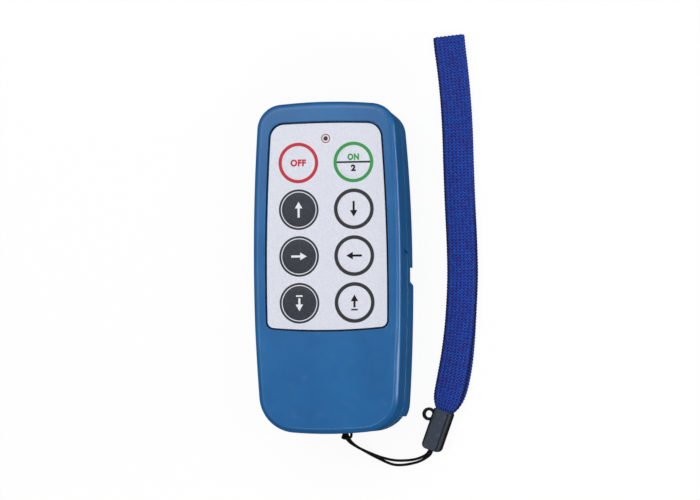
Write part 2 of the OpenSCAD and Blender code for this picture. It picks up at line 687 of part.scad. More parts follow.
module case_seal() color(BLACK) difference() {
    plate(CASE, seal_in + touch_gap, split_z - seal_h, split_z - touch_gap);
    plate(CASE, seal_in + seal_t, split_z - seal_h - over, split_z + over);
}

// A pan-head screw that points up, with the underside of its head at the origin
module screw(shank_r, shank_l, head_r, head_h) difference() {
    union() {
        cylinder(r = shank_r, h = shank_l);
        translate([0, 0, -head_h]) cylinder(r = head_r, h = head_h);
    }
    for (a = [0, 90]) rotate(a)
        translate([-head_r * cross_l_share, -head_r * cross_w_share, -head_h - over])
            cube([2 * head_r * cross_l_share, 2 * head_r * cross_w_share, head_h * cross_depth_share + over]);
}

module case_screws() color(METAL) for (p = case_screw_places())
    translate([p[0], p[1], screw_seat_z]) screw(case_screw_r, case_screw_l, case_head_r, case_head_h);

module board_screws() color(METAL) for (p = board_screw_places())
    translate([p[0], p[1], board_under])
        screw(board_screw_r, board_t + board_screw_reach, board_head_r, board_head_h);

module circuit_board() color(BOARD_GREEN) translate([0, 0, board_under]) linear_extrude(board_t)
    difference() {
        intersection() {
            polygon(outline(CASE, board_inset));
            translate([-half_w, board_y1 - board_l]) square([case_w, board_l + over]);
        }
        for (p = case_screw_places()) translate(p) circle(rear_boss_r + 2 * hole_gap);
        for (p = board_screw_places()) translate(p) circle(board_screw_r + hole_gap);
    }

module switch_housings() color(BLACK) for (key = [0:len(KEYS) - 1])
    translate(concat(key_place(key), board_top)) difference() {
        union() {
            translate([-switch_w / 2, -switch_w / 2, 0]) cube([switch_w, switch_w, switch_h - plate_t]);
            translate([-switch_lid_w / 2, -switch_lid_w / 2, 0]) cube([switch_lid_w, switch_lid_w, switch_h]);
        }
        translate([0, 0, switch_h - stem_in - key_travel - hole_gap])
            cylinder(r = stem_r + stem_gap, h = switch_h);
    }

module switch_stem(key) color("#26272b")
    translate(concat(key_place(key), switch_top - stem_in))
        cylinder(r = stem_r, h = stem_in + stem_proud);

module plunger(key) color("#d8dadd") translate(key_place(key)) {
    translate([0, 0, flange_top - flange_t]) cylinder(r = flange_r, h = flange_t);
    translate([0, 0, flange_top - touch_gap])
        cylinder(r = key_bore_r - slide_gap, h = panel_top - flange_top + touch_gap);
}

module film_disc(key) color(KEY_COLORS[key]) translate(concat(key_place(key), panel_top))
    let(h = sheet_t + key_disc_proud)
    rotate_extrude() polygon([[0, 0], [key_disc_r, 0], [key_disc_r, h - key_disc_edge],
        [key_disc_r - key_disc_edge, h], [0, h]]);

module chip(place, l, w, pins) translate(concat(place, board_top)) {
    translate([-w / 2, -l / 2, chip_lift]) cube([w, l, chip_h]);
    for (i = [0:pins / 2 - 1])
        translate([-w / 2 - pin_reach, -l / 2 + (i + 0.5) * 2 * l / pins - pin_w / 2, 0])
            cube([w + 2 * pin_reach, pin_w, chip_h / 2]);
}

module microcontroller() color(BLACK) chip([0, controller_y], controller_l, controller_w, controller_pins);
module memory_chip() color(BLACK) chip([0, memory_y], memory_l, memory_w, memory_pins);

module radio_module() translate([0, radio_y, board_top]) {
    color(BOARD_GREEN) translate([-radio_w / 2, -radio_l / 2, 0]) cube([radio_w, radio_l, board_t / 2]);
    color(METAL) translate([-radio_w * can_w_share / 2, radio_l * (can_start_share - 0.5),
        board_t / 2 - touch_gap]) cube([radio_w * can_w_share, radio_l * can_l_share, chip_h]);
}

module crystal() color(METAL) translate([0, crystal_y, board_top]) {
    translate([-(crystal_l - crystal_w) / 2, -crystal_w / 2, 0])
        cube([crystal_l - crystal_w, crystal_w, crystal_h]);
    for (side = [-1, 1]) translate([side * (crystal_l - crystal_w) / 2, 0, 0])
        cylinder(r = crystal_w / 2, h = crystal_h);
}

module capacitors() color("#2b3c5c") for (side = [-1, 1])
    translate([side * capacitor_x, capacitor_y, board_top]) cylinder(r = capacitor_r, h = capacitor_h);

module status_diode() color("#c9332b") translate([0, indicator_y, board_top])
    cylinder(r = diode_r, h = panel_under - lens_flange_t - hole_gap - board_top);

// A tube of radius r swept along a list of points, with its frame carried from ring to ring
module swept_tube(path, r, sides) {
    n = len(path);
    ways = [for (i = [0:n - 1]) unit(path[min(i + 1, n - 1)] - path[max(i - 1, 0)])];
    start = unit(cross(ways[0], abs(ways[0][2]) < 0.9 ? [0, 0, 1] : [1, 0, 0]));
    normals = [for (i = 0, v = start; i < n;
        i = i + 1, v = i < n ? unit(v - ways[i] * (v * ways[i])) : v) v];
    points = [for (i = [0:n - 1]) for (k = [0:sides - 1])
        let(a = 360 * k / sides)
        path[i] + r * (cos(a) * normals[i] + sin(a) * cross(ways[i], normals[i]))];
    sides_of = [for (i = [0:n - 2]) for (k = [0:sides - 1])
        let(a = i * sides + k, b = i * sides + (k + 1) % sides)
        each [[a, a + sides, b + sides], [a, b + sides, b]]];
    first = [for (k = [1:sides - 2]) [0, k, k + 1]];
    end = (n - 1) * sides;
    last = [for (k = [1:sides - 2]) [end, end + k + 1, end + k]];
    polyhedron(points, concat(sides_of, first, last), convexity = 6);
}
function unit(v) = v / norm(v);

// Points of a smooth curve through the points of a route, with its own points kept
function smooth_route(p, steps) =
    let(n = len(p))
    concat([for (i = [0:n - 2]) for (k = [0:steps - 1])
        let(t = k / steps, a = p[max(i - 1, 0)], b = p[i], c = p[i + 1], d = p[min(i + 2, n - 1)])
        0.5 * (2 * b + (c - a) * t + (2 * a - 5 * b + 4 * c - d) * t * t
            + (3 * b - a - 3 * c + d) * t * t * t)],
        [p[n - 1]]);

module antenna_coil() color("#c8a24a") {
    length = antenna_turns * antenna_pitch;
    z = board_under - antenna_r - antenna_wire_d;
    steps = COIL_STEPS * antenna_turns;
    helix = [for (i = [0:steps]) let(a = 360 * i / COIL_STEPS)
        [length * (i / steps - 0.5), antenna_y + antenna_r * sin(a), z - antenna_r * cos(a)]];
    foot = antenna_wire_d;
    swept_tube(concat([[-length / 2 - 2 * foot, antenna_y - 2 * foot, board_under],
        [-length / 2 - 2 * foot, antenna_y - 2 * foot, z], [-length / 2 - foot, antenna_y, z - antenna_r]],
        helix, [[length / 2 + foot, antenna_y, z - antenna_r],
        [length / 2 + 2 * foot, antenna_y - 2 * foot, z],
        [length / 2 + 2 * foot, antenna_y - 2 * foot, board_under]]), antenna_wire_d / 2, 6);
}

// A cell along +Y, with its flat end at the origin
module cell() rotate([-90, 0, 0]) rotate_extrude() polygon([[0, 0], [cell_r - cell_edge_r, 0],
    [cell_r, cell_edge_r], [cell_r, cell_l - cell_button_l - cell_edge_r],
    [cell_r - cell_edge_r, cell_l - cell_button_l], [cell_button_r, cell_l - cell_button_l],
    [cell_button_r, cell_l], [0, cell_l]]);

module battery_1() color("#3c4a57") translate([-cell_x, bay_y1 - plate_t - cell_l, cell_z]) cell();
module battery_2() color("#3c4a57") translate([cell_x, bay_y0 + plate_t + cell_l, cell_z])
    mirror([0, 1, 0]) cell();

module battery_spring() {
    steps = COIL_STEPS * spring_turns;
    rise_l = spring_l - spring_wire_d;
    swept_tube([for (i = [0:steps]) let(a = 360 * i / COIL_STEPS, t = i / steps,
        r = spring_big_r + (spring_small_r - spring_big_r) * t)
        [r * cos(a), spring_wire_d / 2 + rise_l * t, r * sin(a)]], spring_wire_d / 2, 6);
}

module battery_springs() color(METAL) {
    translate([-cell_x, bay_y0 + plate_t, cell_z]) battery_spring();
    translate([cell_x, bay_y1 - plate_t, cell_z]) mirror([0, 1, 0]) battery_spring();
}

module battery_plates() color(METAL) {
    translate([-cell_x - plate_w / 2, bay_y0, cell_z - plate_w / 2])
        cube([2 * cell_x + plate_w, plate_t, plate_w]);
    for (side = [-1, 1]) {
        translate([side * cell_x - plate_w / 2, bay_y1 - plate_t, cell_z - plate_w / 2])
            cube([plate_w, plate_t, plate_w]);
        translate([side * cell_x - tail_w / 2, bay_y1 - plate_t, cell_z])
            cube([tail_w, plate_t, board_under - cell_z]);
    }
}

module lanyard_pin() color(METAL) translate([pin_x - pin_l / 2, lanyard_y, pin_z])
    rotate([0, 90, 0]) cylinder(r = pin_r, h = pin_l);

module lanyard_cord() color(BLACK) swept_tube(smooth_route(cord_route(), 2), cord_d / 2, 8);

// The clamp lies on the surface, with its mouth towards the strap. Its own +Y runs to the mouth.
module at_clamp() translate([clamp_x, clamp_y, 0]) rotate(-clamp_turn) children();

module clamp_outline() {
    low = clamp_w - 2 * clamp_corner_r;
    high = clamp_w - 2 * clamp_top_corner_r;
    translate([-clamp_w / 2, -clamp_l / 2 + clamp_corner_r])
        square([clamp_w, clamp_l - clamp_corner_r - clamp_top_corner_r]);
    translate([-low / 2, -clamp_l / 2]) square([low, clamp_l]);
    translate([-high / 2, 0]) square([high, clamp_l / 2]);
    for (side = [-1, 1]) {
        translate([side * low / 2, -clamp_l / 2 + clamp_corner_r]) circle(clamp_corner_r);
        translate([side * high / 2, clamp_l / 2 - clamp_top_corner_r]) circle(clamp_top_corner_r);
    }
}

module clamp_body() color("#3a3f47") at_clamp() difference() {
    union() {
        linear_extrude(clamp_h) clamp_outline();
        translate([ring_x, clamp_l / 2 - ring_from_mouth, (clamp_h - ring_t) / 2])
            cylinder(r = ring_r, h = ring_t);
    }
    translate([-clamp_w - ring_r, -clamp_l, clamp_h - clamp_cover_t])
        cube([clamp_w + clamp_w / 2 + ring_r - clamp_strip_w, 2 * clamp_l, clamp_h]);
    translate([-mouth_w / 2, clamp_l / 2 - strap_in - hole_gap, mouth_z])
        cube([mouth_w, strap_in + over, mouth_h]);
    translate([-cord_d - hole_gap, -clamp_l / 2 - over, mouth_mid - cord_d / 2 - fit_gap])
        cube([2 * cord_d + 2 * hole_gap, cord_in + over, cord_d + 2 * fit_gap]);
    translate([ring_x, clamp_l / 2 - ring_from_mouth, 0]) cylinder(r = ring_hole_r, h = clamp_h);
}

module clamp_cover() color("#3a3f47") at_clamp() intersection() {
    translate([0, 0, clamp_h - clamp_cover_t]) linear_extrude(clamp_cover_t) clamp_outline();
    translate([-clamp_w, -clamp_l, 0])
        cube([clamp_w + clamp_w / 2 - clamp_strip_w - clamp_seam, 2 * clamp_l, 2 * clamp_h]);
}

// Share of the strap's length along it, its bow as a share of that length, and its share of the width
STRAP_SHARES = [[0, 0, 0], [0.02, 0.006, 0.66], [0.045, 0.0115, 0.94], [0.09, 0.02, 1],
    [0.15, 0.03, 1], [0.22, 0.038, 1], [0.29, 0.0425, 1], [0.37, 0.0442, 1], [0.46, 0.041, 1],
    [0.56, 0.035, 1], [0.66, 0.03, 1], [0.76, 0.0255, 1], [0.85, 0.0185, 1], [0.92, 0.0105, 1],
    [0.97, 0.0035, 1.02], [1, 0, 1.02]];

// Middle of the strap's layer, u along it from the mouth: place in plan, and width there
function mouth_place() = [clamp_x, clamp_y] + clamp_l / 2 * [sin(clamp_turn), cos(clamp_turn)];
function strap_station(s) =
    [mouth_place() + strap_l * (s[0] * [sin(strap_lean), cos(strap_lean)]
        + s[1] * [cos(strap_lean), -sin(strap_lean)]),
     strap_neck_w + (strap_w - strap_neck_w) * s[2], s[0] * strap_l];

module wrist_strap() color("#2440a0") {
    deep = [mouth_place() - strap_in * [sin(clamp_turn), cos(clamp_turn)], strap_neck_w, -strap_in];
    stations = concat([deep], [for (s = STRAP_SHARES) strap_station(s)]);
    n = len(stations);
    low = strap_t / 2;
    high = low + strap_t + layer_gap;
    lift = [for (s = stations) mouth_z + fit_gap * 2 - (mouth_z + fit_gap * 2)
        * min(1, max(0, s[2] / (strap_l * STRAP_SHARES[3][0])))];
    ways = [for (i = [0:n - 1]) unit(stations[min(i + 1, n - 1)][0] - stations[max(i - 1, 0)][0])];
    fold_r = (high - low) / 2;
    // Each ring: middle, way along in plan, half width, direction of its thickness
    rings = concat(
        [for (i = [0:n - 1]) [concat(stations[i][0], low + lift[i]), ways[i], stations[i][1] / 2, [0, 0, 1]]],
        [for (a = [30:30:150]) let(w = concat(ways[n - 1], 0))
            [concat(stations[n - 1][0], low + fold_r) + fold_r * (sin(a) * w - cos(a) * [0, 0, 1]),
             ways[n - 1], stations[n - 1][1] / 2, cos(a) * [0, 0, 1] - sin(a) * w]],
        [for (i = [n - 1:-1:0])
            [concat(stations[i][0], high + lift[i]), ways[i], stations[i][1] / 2, [0, 0, -1]]]);
    points = [for (r = rings) let(side = [r[1][1], -r[1][0], 0] * r[2], up = r[3] * strap_t / 2)
        each [r[0] - side - up, r[0] + side - up, r[0] + side + up, r[0] - side + up]];
    faces = [for (i = [0:len(rings) - 2]) for (k = [0:3])
        let(a = 4 * i + k, b = 4 * i + (k + 1) % 4)
        each [[a, a + 4, b + 4], [a, b + 4, b]]];
    end = 4 * len(rings) - 4;
    polyhedron(points, concat(faces, [[0, 1, 2], [0, 2, 3]],
        [[end, end + 2, end + 1], [end, end + 3, end + 2]]), convexity = 4);
}

front_shell();
rear_shell();
battery_cover();
keypad_sheet();
indicator_lens();
case_seal();
case_screws();
circuit_board();
board_screws();
switch_housings();
radio_module();
microcontroller();
memory_chip();
crystal();
capacitors();
antenna_coil();
status_diode();
battery_1();
battery_2();
battery_springs();
battery_plates();
lanyard_pin();
lanyard_cord();
clamp_body();
clamp_cover();
wrist_strap();
for (key = [0:len(KEYS) - 1]) {
    film_disc(key);
    plunger(key);
    switch_stem(key);
}
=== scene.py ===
# A crane's hand-held radio remote lies on its back on a pale table: a blue case in two shells,
# a silver film keypad with eight keys, a battery cover, and a wrist strap on a thin black cord.
# Lengths are in millimetres, in the frame of the CAD model, and MM turns them into Blender's metres.
from math import atan2, cos, hypot, pi, radians, sin, sqrt
import bmesh
import bpy
from mathutils import Matrix, Vector


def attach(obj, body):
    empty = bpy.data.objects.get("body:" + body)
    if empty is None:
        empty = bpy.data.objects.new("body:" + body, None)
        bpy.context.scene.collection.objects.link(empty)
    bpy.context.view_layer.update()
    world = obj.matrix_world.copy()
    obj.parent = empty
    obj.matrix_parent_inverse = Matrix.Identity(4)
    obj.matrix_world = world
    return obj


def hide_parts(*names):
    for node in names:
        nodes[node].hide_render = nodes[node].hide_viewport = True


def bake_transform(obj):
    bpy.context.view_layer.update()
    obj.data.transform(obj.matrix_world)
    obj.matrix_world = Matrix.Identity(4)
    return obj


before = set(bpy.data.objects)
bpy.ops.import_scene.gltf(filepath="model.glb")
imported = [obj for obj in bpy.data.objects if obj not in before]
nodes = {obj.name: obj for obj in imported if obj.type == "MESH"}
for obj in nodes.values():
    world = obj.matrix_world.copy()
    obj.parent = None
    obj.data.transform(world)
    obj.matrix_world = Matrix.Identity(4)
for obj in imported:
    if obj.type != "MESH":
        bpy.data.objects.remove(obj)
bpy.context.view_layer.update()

MM = 0.001
scene = bpy.context.scene

# --- Camera ---
# The photograph looks down on the keypad from far away, a little from the right and from the
# bottom end, with a slight roll. The middle of the case's face lies at pixel MIDDLE_X, MIDDLE_Y.
YAW, PITCH, ROLL = radians(11.6), radians(2.0), radians(-0.5)
CAMERA_FAR, SENSOR_W = 2.0, 36
PIXELS_PER_MM = 2.56
IMAGE_W, IMAGE_H = 700, 500
MIDDLE_X, MIDDLE_Y = 326.47, 267.5
CASE_H = 28
level = Vector((cos(YAW), 0, -sin(YAW)))
away = Vector((sin(YAW), 0, cos(YAW)))
upward = Vector((0, cos(PITCH), 0)) + away * sin(PITCH)
away = level.cross(upward).normalized()
across = level * cos(ROLL) + upward * sin(ROLL)
upward = away.cross(across)
aim = Vector((0, 0, CASE_H)) + (across * (IMAGE_W / 2 - MIDDLE_X)
                                + upward * (MIDDLE_Y - IMAGE_H / 2)) / PIXELS_PER_MM
camera_data = bpy.data.cameras.new("camera")
camera_data.sensor_width = SENSOR_W
camera_data.lens = SENSOR_W * CAMERA_FAR * PIXELS_PER_MM / MM / IMAGE_W
camera_data.clip_end = 10 * CAMERA_FAR
camera = bpy.data.objects.new("camera", camera_data)
scene.collection.objects.link(camera)
turn = Matrix((across, upward, away)).transposed().to_4x4()
camera.matrix_world = Matrix.Translation(aim * MM + away * CAMERA_FAR) @ turn
scene.camera = camera
scene.view_settings.view_transform = "Standard"


# --- Lanyard cord ---
# One 0.9 mm braided black cord: out of the clamp, along the table, round the pin in a lark's head,
# and back into the clamp. Its points are those of the CAD model.
CORD_D, BRAID_PROUD = 0.9, 0.18
CORD_ROUTE = [
    (36.3, -69, 2.1), (35.35, -71.7, 2.1), (33.3, -73.8, 1), (28.6, -75.4, 0.55), (22, -75.7, 0.55),
    (16.5, -74.6, 1), (12, -72.9, 1.7), (8.2, -71.1, 2.8), (5.9, -69.4, 4.8), (4.7, -67.6, 7.6),
    (4.15, -65.4, 10), (4.1, -62.8, 10.95), (4.15, -61.4, 10.35), (4.3, -60.85, 9), (4.5, -61.4, 7.6),
    (4.8, -62.8, 7.05), (5.05, -64.4, 7.25), (5.25, -65.7, 8.1), (5.25, -66.3, 9.5),
    (4.75, -66.6, 10.75), (3.6, -66.8, 11.35), (2.5, -66.6, 10.75), (2.05, -66.3, 9.5),
    (2.05, -65.7, 8.1), (2.1, -64.4, 7.25), (2.2, -62.8, 7.05), (2.45, -61.4, 7.6), (2.8, -60.85, 9),
    (3, -61.4, 10.35), (3.05, -62.8, 10.95), (3.1, -65.4, 9.95), (3.65, -67.6, 7), (5.3, -69.4, 3.8),
    (8.6, -71.5, 1.3), (14, -74.5, 0.55), (21.3, -77.4, 0.55), (29.4, -76.6, 0.55),
    (34.7, -74.1, 1.25), (36.45, -71.7, 2.1), (37.25, -69.4, 2.1)]


def smooth_route(route, steps):
    """Points of a curve through the route's points, with steps of them for each stretch."""
    p = [Vector(route[0])] + [Vector(q) for q in route] + [Vector(route[-1])]
    curve = []
    for a, b, c, d in zip(p, p[1:], p[2:], p[3:]):
        for k in range(steps):
            t = k / steps
            curve.append((2 * b + (c - a) * t + (2 * a - 5 * b + 4 * c - d) * t * t
                          + (3 * b - a - 3 * c + d) * t ** 3) / 2)
    return curve + [p[-1]]


class Wire:
    """A socket of a material. Python's operators on it add the Math nodes that work them out."""

    def __init__(self, tree, socket=None):
        self.tree, self.socket = tree, socket

    def node(self, kind, settings=(), inputs=(), out=0):
        """Any node: its type, its settings, then the values or wires of its inputs."""
        made = self.tree.nodes.new("ShaderNode" + kind)
        for name, value in dict(settings).items():
            setattr(made, name, value)
        for name, value in dict(inputs).items():
            if isinstance(value, Wire):
                self.tree.links.new(value.socket, made.inputs[name])
            else:
                made.inputs[name].default_value = value
        return Wire(self.tree, made.outputs[out])

    def math(self, operation, *others):
        return self.node("Math", {"operation": operation}, dict(enumerate((self,) + others)))

    def __add__(self, other):
        return self.math("ADD", other)

    def __sub__(self, other):
        return self.math("SUBTRACT", other)

    def __rsub__(self, other):
        return self.node("Math", {"operation": "SUBTRACT"}, {0: other, 1: self})

    def __mul__(self, other):
        return self.math("MULTIPLY", other)

    def __truediv__(self, other):
        return self.math("DIVIDE", other)

    __radd__ = __add__
    __rmul__ = __mul__

    def step(self, low, high):
        """0 below low, 1 above high, and a smooth change between them."""
        return self.node("MapRange", {"interpolation_type": "SMOOTHSTEP"},
                         {"Value": self, "From Min": low, "From Max": high})

    def mix(self, low, high):
        """Colour low where this is 0, and colour high where it is 1."""
        return self.node("Mix", {"data_type": "RGBA"}, {0: self, 6: low, 7: high}, 2)

    def parts(self):
        """Its x, y and z."""
        return [self.node("SeparateXYZ", (), {0: self}, i) for i in range(3)]


def colour(red, green, blue):
    """A colour that is given as it shows on a screen, 0 to 255."""
    linear = [c / 255 / 12.92 if c <= 10 else ((c / 255 + 0.055) / 1.055) ** 2.4
              for c in (red, green, blue)]
    return (*linear, 1)


def finish(name, look, **constants):
    """A material: constants go on the shader's sockets, and look(place) gives what varies."""
    material = bpy.data.materials.new(name)
    material.use_nodes = True
    tree = material.node_tree
    shader = tree.nodes["Principled BSDF"]
    for socket, value in constants.items():
        shader.inputs[socket.replace("_", " ")].default_value = value
    place = Wire(tree).node("TexCoord", (), (), 3)
    varied = look(place)
    height = varied.pop("height", None)
    if height is not None:
        varied["Normal"] = place.node("Bump", (), {"Strength": 1, "Distance": MM, "Height": height})
    for socket, value in varied.items():
        tree.links.new(value.socket, shader.inputs[socket])
    material.diffuse_color = (0.5, 0.5, 0.5, 1)
    return material


def noise(place, scale, detail=2.0):
    """Grey noise around 0.5, with scale waves in a millimetre."""
    return place.node("TexNoise", (), {"Vector": place, "Scale": scale / MM, "Detail": detail})


def dress(objects, material):
    """Gives the objects one material in place of their own."""
    for obj in objects:
        obj.data.materials.clear()
        obj.data.materials.append(material)


def braid(place):
    strands = noise(place, 2.6, 1.0).step(0.35, 0.65)
    fibres = noise(place, 9.0)
    return {"Base Color": strands.mix(colour(3, 3, 4), colour(14, 14, 17)),
            "Roughness": 0.7 + 0.2 * fibres, "height": 0.08 * strands + 0.02 * fibres}


def tube(name, route, radius):
    """A round cord or wire through the points of its route, as a smooth curve."""
    data = bpy.data.curves.new(name, "CURVE")
    data.dimensions, data.resolution_u = "3D", 8
    data.bevel_depth, data.bevel_resolution, data.use_fill_caps = radius * MM, 4, True
    line = [Vector(p) * MM for p in route]
    spline = data.splines.new("BEZIER")
    spline.bezier_points.add(len(line) - 1)
    for i, (knot, point) in enumerate(zip(spline.bezier_points, line)):
        before, after = line[max(i - 1, 0)], line[min(i + 1, len(line) - 1)]
        knot.handle_left_type = knot.handle_right_type = "FREE"
        knot.co = point
        knot.handle_left = point - (after - before) / 6
        knot.handle_right = point + (after - before) / 6
    obj = bpy.data.objects.new(name, data)
    scene.collection.objects.link(obj)
    return obj


cord = tube("braided_cord", CORD_ROUTE, (CORD_D + BRAID_PROUD) / 2)
cord_points = smooth_route(CORD_ROUTE, 12)
cord_length = sum((b - a).length for a, b in zip(cord_points, cord_points[1:]))
cord.data.materials.append(finish("braided_cord", braid, Specular_IOR_Level=0.2))
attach(cord, "case")
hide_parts("lanyard_cord")
tuple(cord_points[0] * MM)


# --- Front shell ---
# The upper shell is injection-moulded blue plastic with a fine spark texture: bowed sides, a soft
# front edge, a face that falls towards the hand, and a sunk bed with a bore for each key.
# An outline is its half width, the middle and bow of its sides, then y, bow and corner of each end.
HALF_W, HALF_L, SPLIT_Z, SHELL_WALL = 29.5, 65, 24, 2
CASE = (HALF_W, 0, 800, HALF_L, 200, 10, -HALF_L, 165, 14.5)
SHEET_Y1, SHEET_L = 57, 81.8
SHEET_Y0 = SHEET_Y1 - SHEET_L
SHEET = (24.4, SHEET_Y0 + 0.23 * SHEET_L, 850, SHEET_Y1, 400, 6, SHEET_Y0, 240, 3)
# The front edge from the face down: the length of each stretch, and its slope at both ends. It is
# tight round the palm rest and softer beside the keypad, and it changes between the two places in y.
PALM_EDGE = ((0.75, 0, 36), (1.8, 36, 54), (1.05, 54, 90))
KEYPAD_EDGE = ((1.6, 0, 30), (1.0, 30, 56), (1.05, 56, 90))
EDGE_FROM_Y, EDGE_TO_Y = -38, -22
SHEET_TOP, PANEL_TOP, PANEL_UNDER = 27.5, 27.0, 25.4
PALM_DROP = 1.2
LIP, LIP_MIDDLE = 0.25, 0.07
BED_GAP, BED_ROUND, BED_IN, GLUE_GROOVE_Z = 0.32, 0.15, 0.05, 26.2
END_STEPS, CORNER_STEPS, SIDE_STEPS, FACE_STEPS, EDGE_STEPS = 10, 24, 44, 14, 8
KEYS = ("stop", "start", "up", "down", "east", "west", "south", "north")
KEY_COLUMN, KEY_ROW, FIRST_ROW_Y = 22, 18.3, 41.1
KEY_PLACES = {key: ((i % 2 - 0.5) * KEY_COLUMN, FIRST_ROW_Y - i // 2 * KEY_ROW)
              for i, key in enumerate(KEYS)}
KEY_BORE_R, INDICATOR, LENS_BORE_R = 6.3, (0, 50.5), 1.6
CASE_SCREWS = [(s * x, y) for x, y in ((21.5, 54.5), (21, -48)) for s in (-1, 1)]
BOARD_SCREWS = [(s * 21, y) for y in (46, -30.2) for s in (-1, 1)]
CASE_POST, BOARD_POST, POST_ROUND = (2.9, 1.25, SPLIT_Z - SHELL_WALL), (2.1, 0.85, 21.0), 0.2
# For cutting and finishing meshes: a cut's overshoot and reach, the angle of a sharp crease, and
# the lengths under which vertices are welded and edges dropped
OVER, FAR, SHARP, WELD, SLIVER = 1, 60, radians(38), 0.002, 0.001


def quarter(steps):
    """A quarter round of radius 1, from its outer to its inner end, as pairs of insets."""
    return [(1 - sin(pi / 2 * k / steps), 1 - cos(pi / 2 * k / steps)) for k in range(steps + 1)]


def meet(a, ra, b, rb, side):
    """Point where two circles meet, on the side of a to b's right."""
    d = (b - a).length
    along = (ra * ra - rb * rb + d * d) / (2 * d)
    aside = sqrt(ra * ra - along * along)
    u = (b - a) / d
    return a + along * u + side * aside * Vector((u[1], -u[0]))


def outline(shape, inset):
    """A bowed outline with round corners, from the bottom middle round the right side and back."""
    half_w, mid_y, bow, y1, bow1, corner1, y0, bow0, corner0 = shape
    side_c, top_c, low_c = Vector((half_w - bow, mid_y)), Vector((0, y1 - bow1)), Vector((0, y0 + bow0))
    tc = meet(side_c, bow - corner1, top_c, bow1 - corner1, -1)
    lc = meet(side_c, bow - corner0, low_c, bow0 - corner0, 1)
    t0, t1, l0, l1 = (atan2(v[1], v[0]) for v in (tc - side_c, tc - top_c, lc - low_c, lc - side_c))
    arcs = [(low_c, bow0, -pi / 2, l0, END_STEPS, 0.5), (lc, corner0, l0, l1, CORNER_STEPS, 0),
            (side_c, bow, l1, t0, SIDE_STEPS, 0), (tc, corner1, t0, t1, CORNER_STEPS, 0),
            (top_c, bow1, t1, pi / 2, END_STEPS, 0)]
    half = []
    for c, r, a0, a1, steps, shift in arcs:
        for i in range(steps):
            a = a0 + (a1 - a0) * (i + shift) / steps
            half.append((c[0] + (r - inset) * cos(a), c[1] + (r - inset) * sin(a)))
    return half + [(-x, y) for x, y in reversed(half)]


def fall(y):
    """How far the face has fallen towards the hand."""
    return PALM_DROP * ((SHEET_Y0 - y) / (SHEET_Y0 + HALF_L)) ** 2 if y < SHEET_Y0 else 0


def bridge(mesh, rings, ends=True):
    """Rings of points with faces between each and the next, and one face over each end."""
    made = [[mesh.verts.new(p) for p in ring] for ring in rings]
    for low, high in zip(made, made[1:]):
        for i in range(len(low)):
            j = (i + 1) % len(low)
            mesh.faces.new((low[i], low[j], high[j], high[i]))
    if ends:
        mesh.faces.new(list(reversed(made[0])))
        mesh.faces.new(made[-1])
    return made


def skin(rings):
    """A closed mesh over rings of equal, even count. Each end is closed with strips across it."""
    mesh = bmesh.new()
    made = bridge(mesh, rings, False)
    n = len(made[0])
    for ring, flip in ((made[0], True), (made[-1], False)):
        for i in range(n // 2 - 1):
            strip = [ring[i], ring[i + 1], ring[n - 2 - i], ring[n - 1 - i]]
            mesh.faces.new(reversed(strip) if flip else strip)
    return mesh


def box_of(mesh, x0, x1, y0, y1, z0, z1):
    """A box in a mesh or, where mesh is None, in a new one."""
    mesh = mesh or bmesh.new()
    corners = [mesh.verts.new((x, y, z)) for z in (z0, z1) for y in (y0, y1) for x in (x0, x1)]
    for quad in ((0, 2, 3, 1), (4, 5, 7, 6), (0, 1, 5, 4), (2, 6, 7, 3), (0, 4, 6, 2), (1, 3, 7, 5)):
        mesh.faces.new([corners[i] for i in quad])
    return mesh


def lathe(mesh, profile, place, sides, turned=None):
    """A profile of (radius, height) points turned round an upright axis, in a mesh or a new one."""
    mesh, turned = mesh or bmesh.new(), turned or Matrix.Identity(3)
    bridge(mesh, [[Vector(place) + turned @ Vector(
        (r * cos(2 * pi * k / sides), r * sin(2 * pi * k / sides), z)) for k in range(sides)]
                  for r, z in profile])
    return mesh


def shade(mesh):
    """Smooth faces, with sharp creases where they meet at more than the angle SHARP."""
    for face in mesh.faces:
        face.smooth = True
    for edge in mesh.edges:
        edge.smooth = len(edge.link_faces) == 2 and edge.calc_face_angle(0) < SHARP


def piece(name, mesh, scale=MM):
    """An object from a mesh in millimetres, or in another scale."""
    bmesh.ops.scale(mesh, vec=(scale,) * 3, verts=mesh.verts)
    bmesh.ops.recalc_face_normals(mesh, faces=mesh.faces)
    shade(mesh)
    data = bpy.data.meshes.new(name)
    mesh.to_mesh(data)
    mesh.free()
    obj = bpy.data.objects.new(name, data)
    scene.collection.objects.link(obj)
    return obj


def change(obj, kind, **settings):
    """Adds a modifier and works it into the object's mesh."""
    modifier = obj.modifiers.new(kind, kind)
    for name, value in settings.items():
        setattr(modifier, name, value)
    evaluated = obj.evaluated_get(bpy.context.evaluated_depsgraph_get())
    data = bpy.data.meshes.new_from_object(evaluated)
    obj.modifiers.clear()
    obj.data = data


def cut(obj, tool, operation="DIFFERENCE"):
    """Cuts a mesh or an object out of obj, or keeps what they share, or joins them."""
    cutter = tool if isinstance(tool, bpy.types.Object) else piece("tool", tool)
    change(obj, "BOOLEAN", operation=operation, solver="EXACT", object=cutter)
    bpy.data.objects.remove(cutter)


def crisp(obj, bevel=0):
    """Marks the creases again after cutting, bevels them, and weighs the normals by area."""
    mesh = bmesh.new()
    mesh.from_mesh(obj.data)
    bmesh.ops.remove_doubles(mesh, verts=mesh.verts, dist=WELD * MM)
    bmesh.ops.dissolve_degenerate(mesh, edges=mesh.edges, dist=SLIVER * MM)
    shade(mesh)
    mesh.to_mesh(obj.data)
    mesh.free()
    if bevel:
        change(obj, "BEVEL", width=bevel * MM, segments=2, limit_method="ANGLE", angle_limit=SHARP)
    change(obj, "WEIGHTED_NORMAL", keep_sharp=True)


def ring_at(shape, inset, height):
    """An outline at a height."""
    return [(x, y, height) for x, y in outline(shape, inset)]


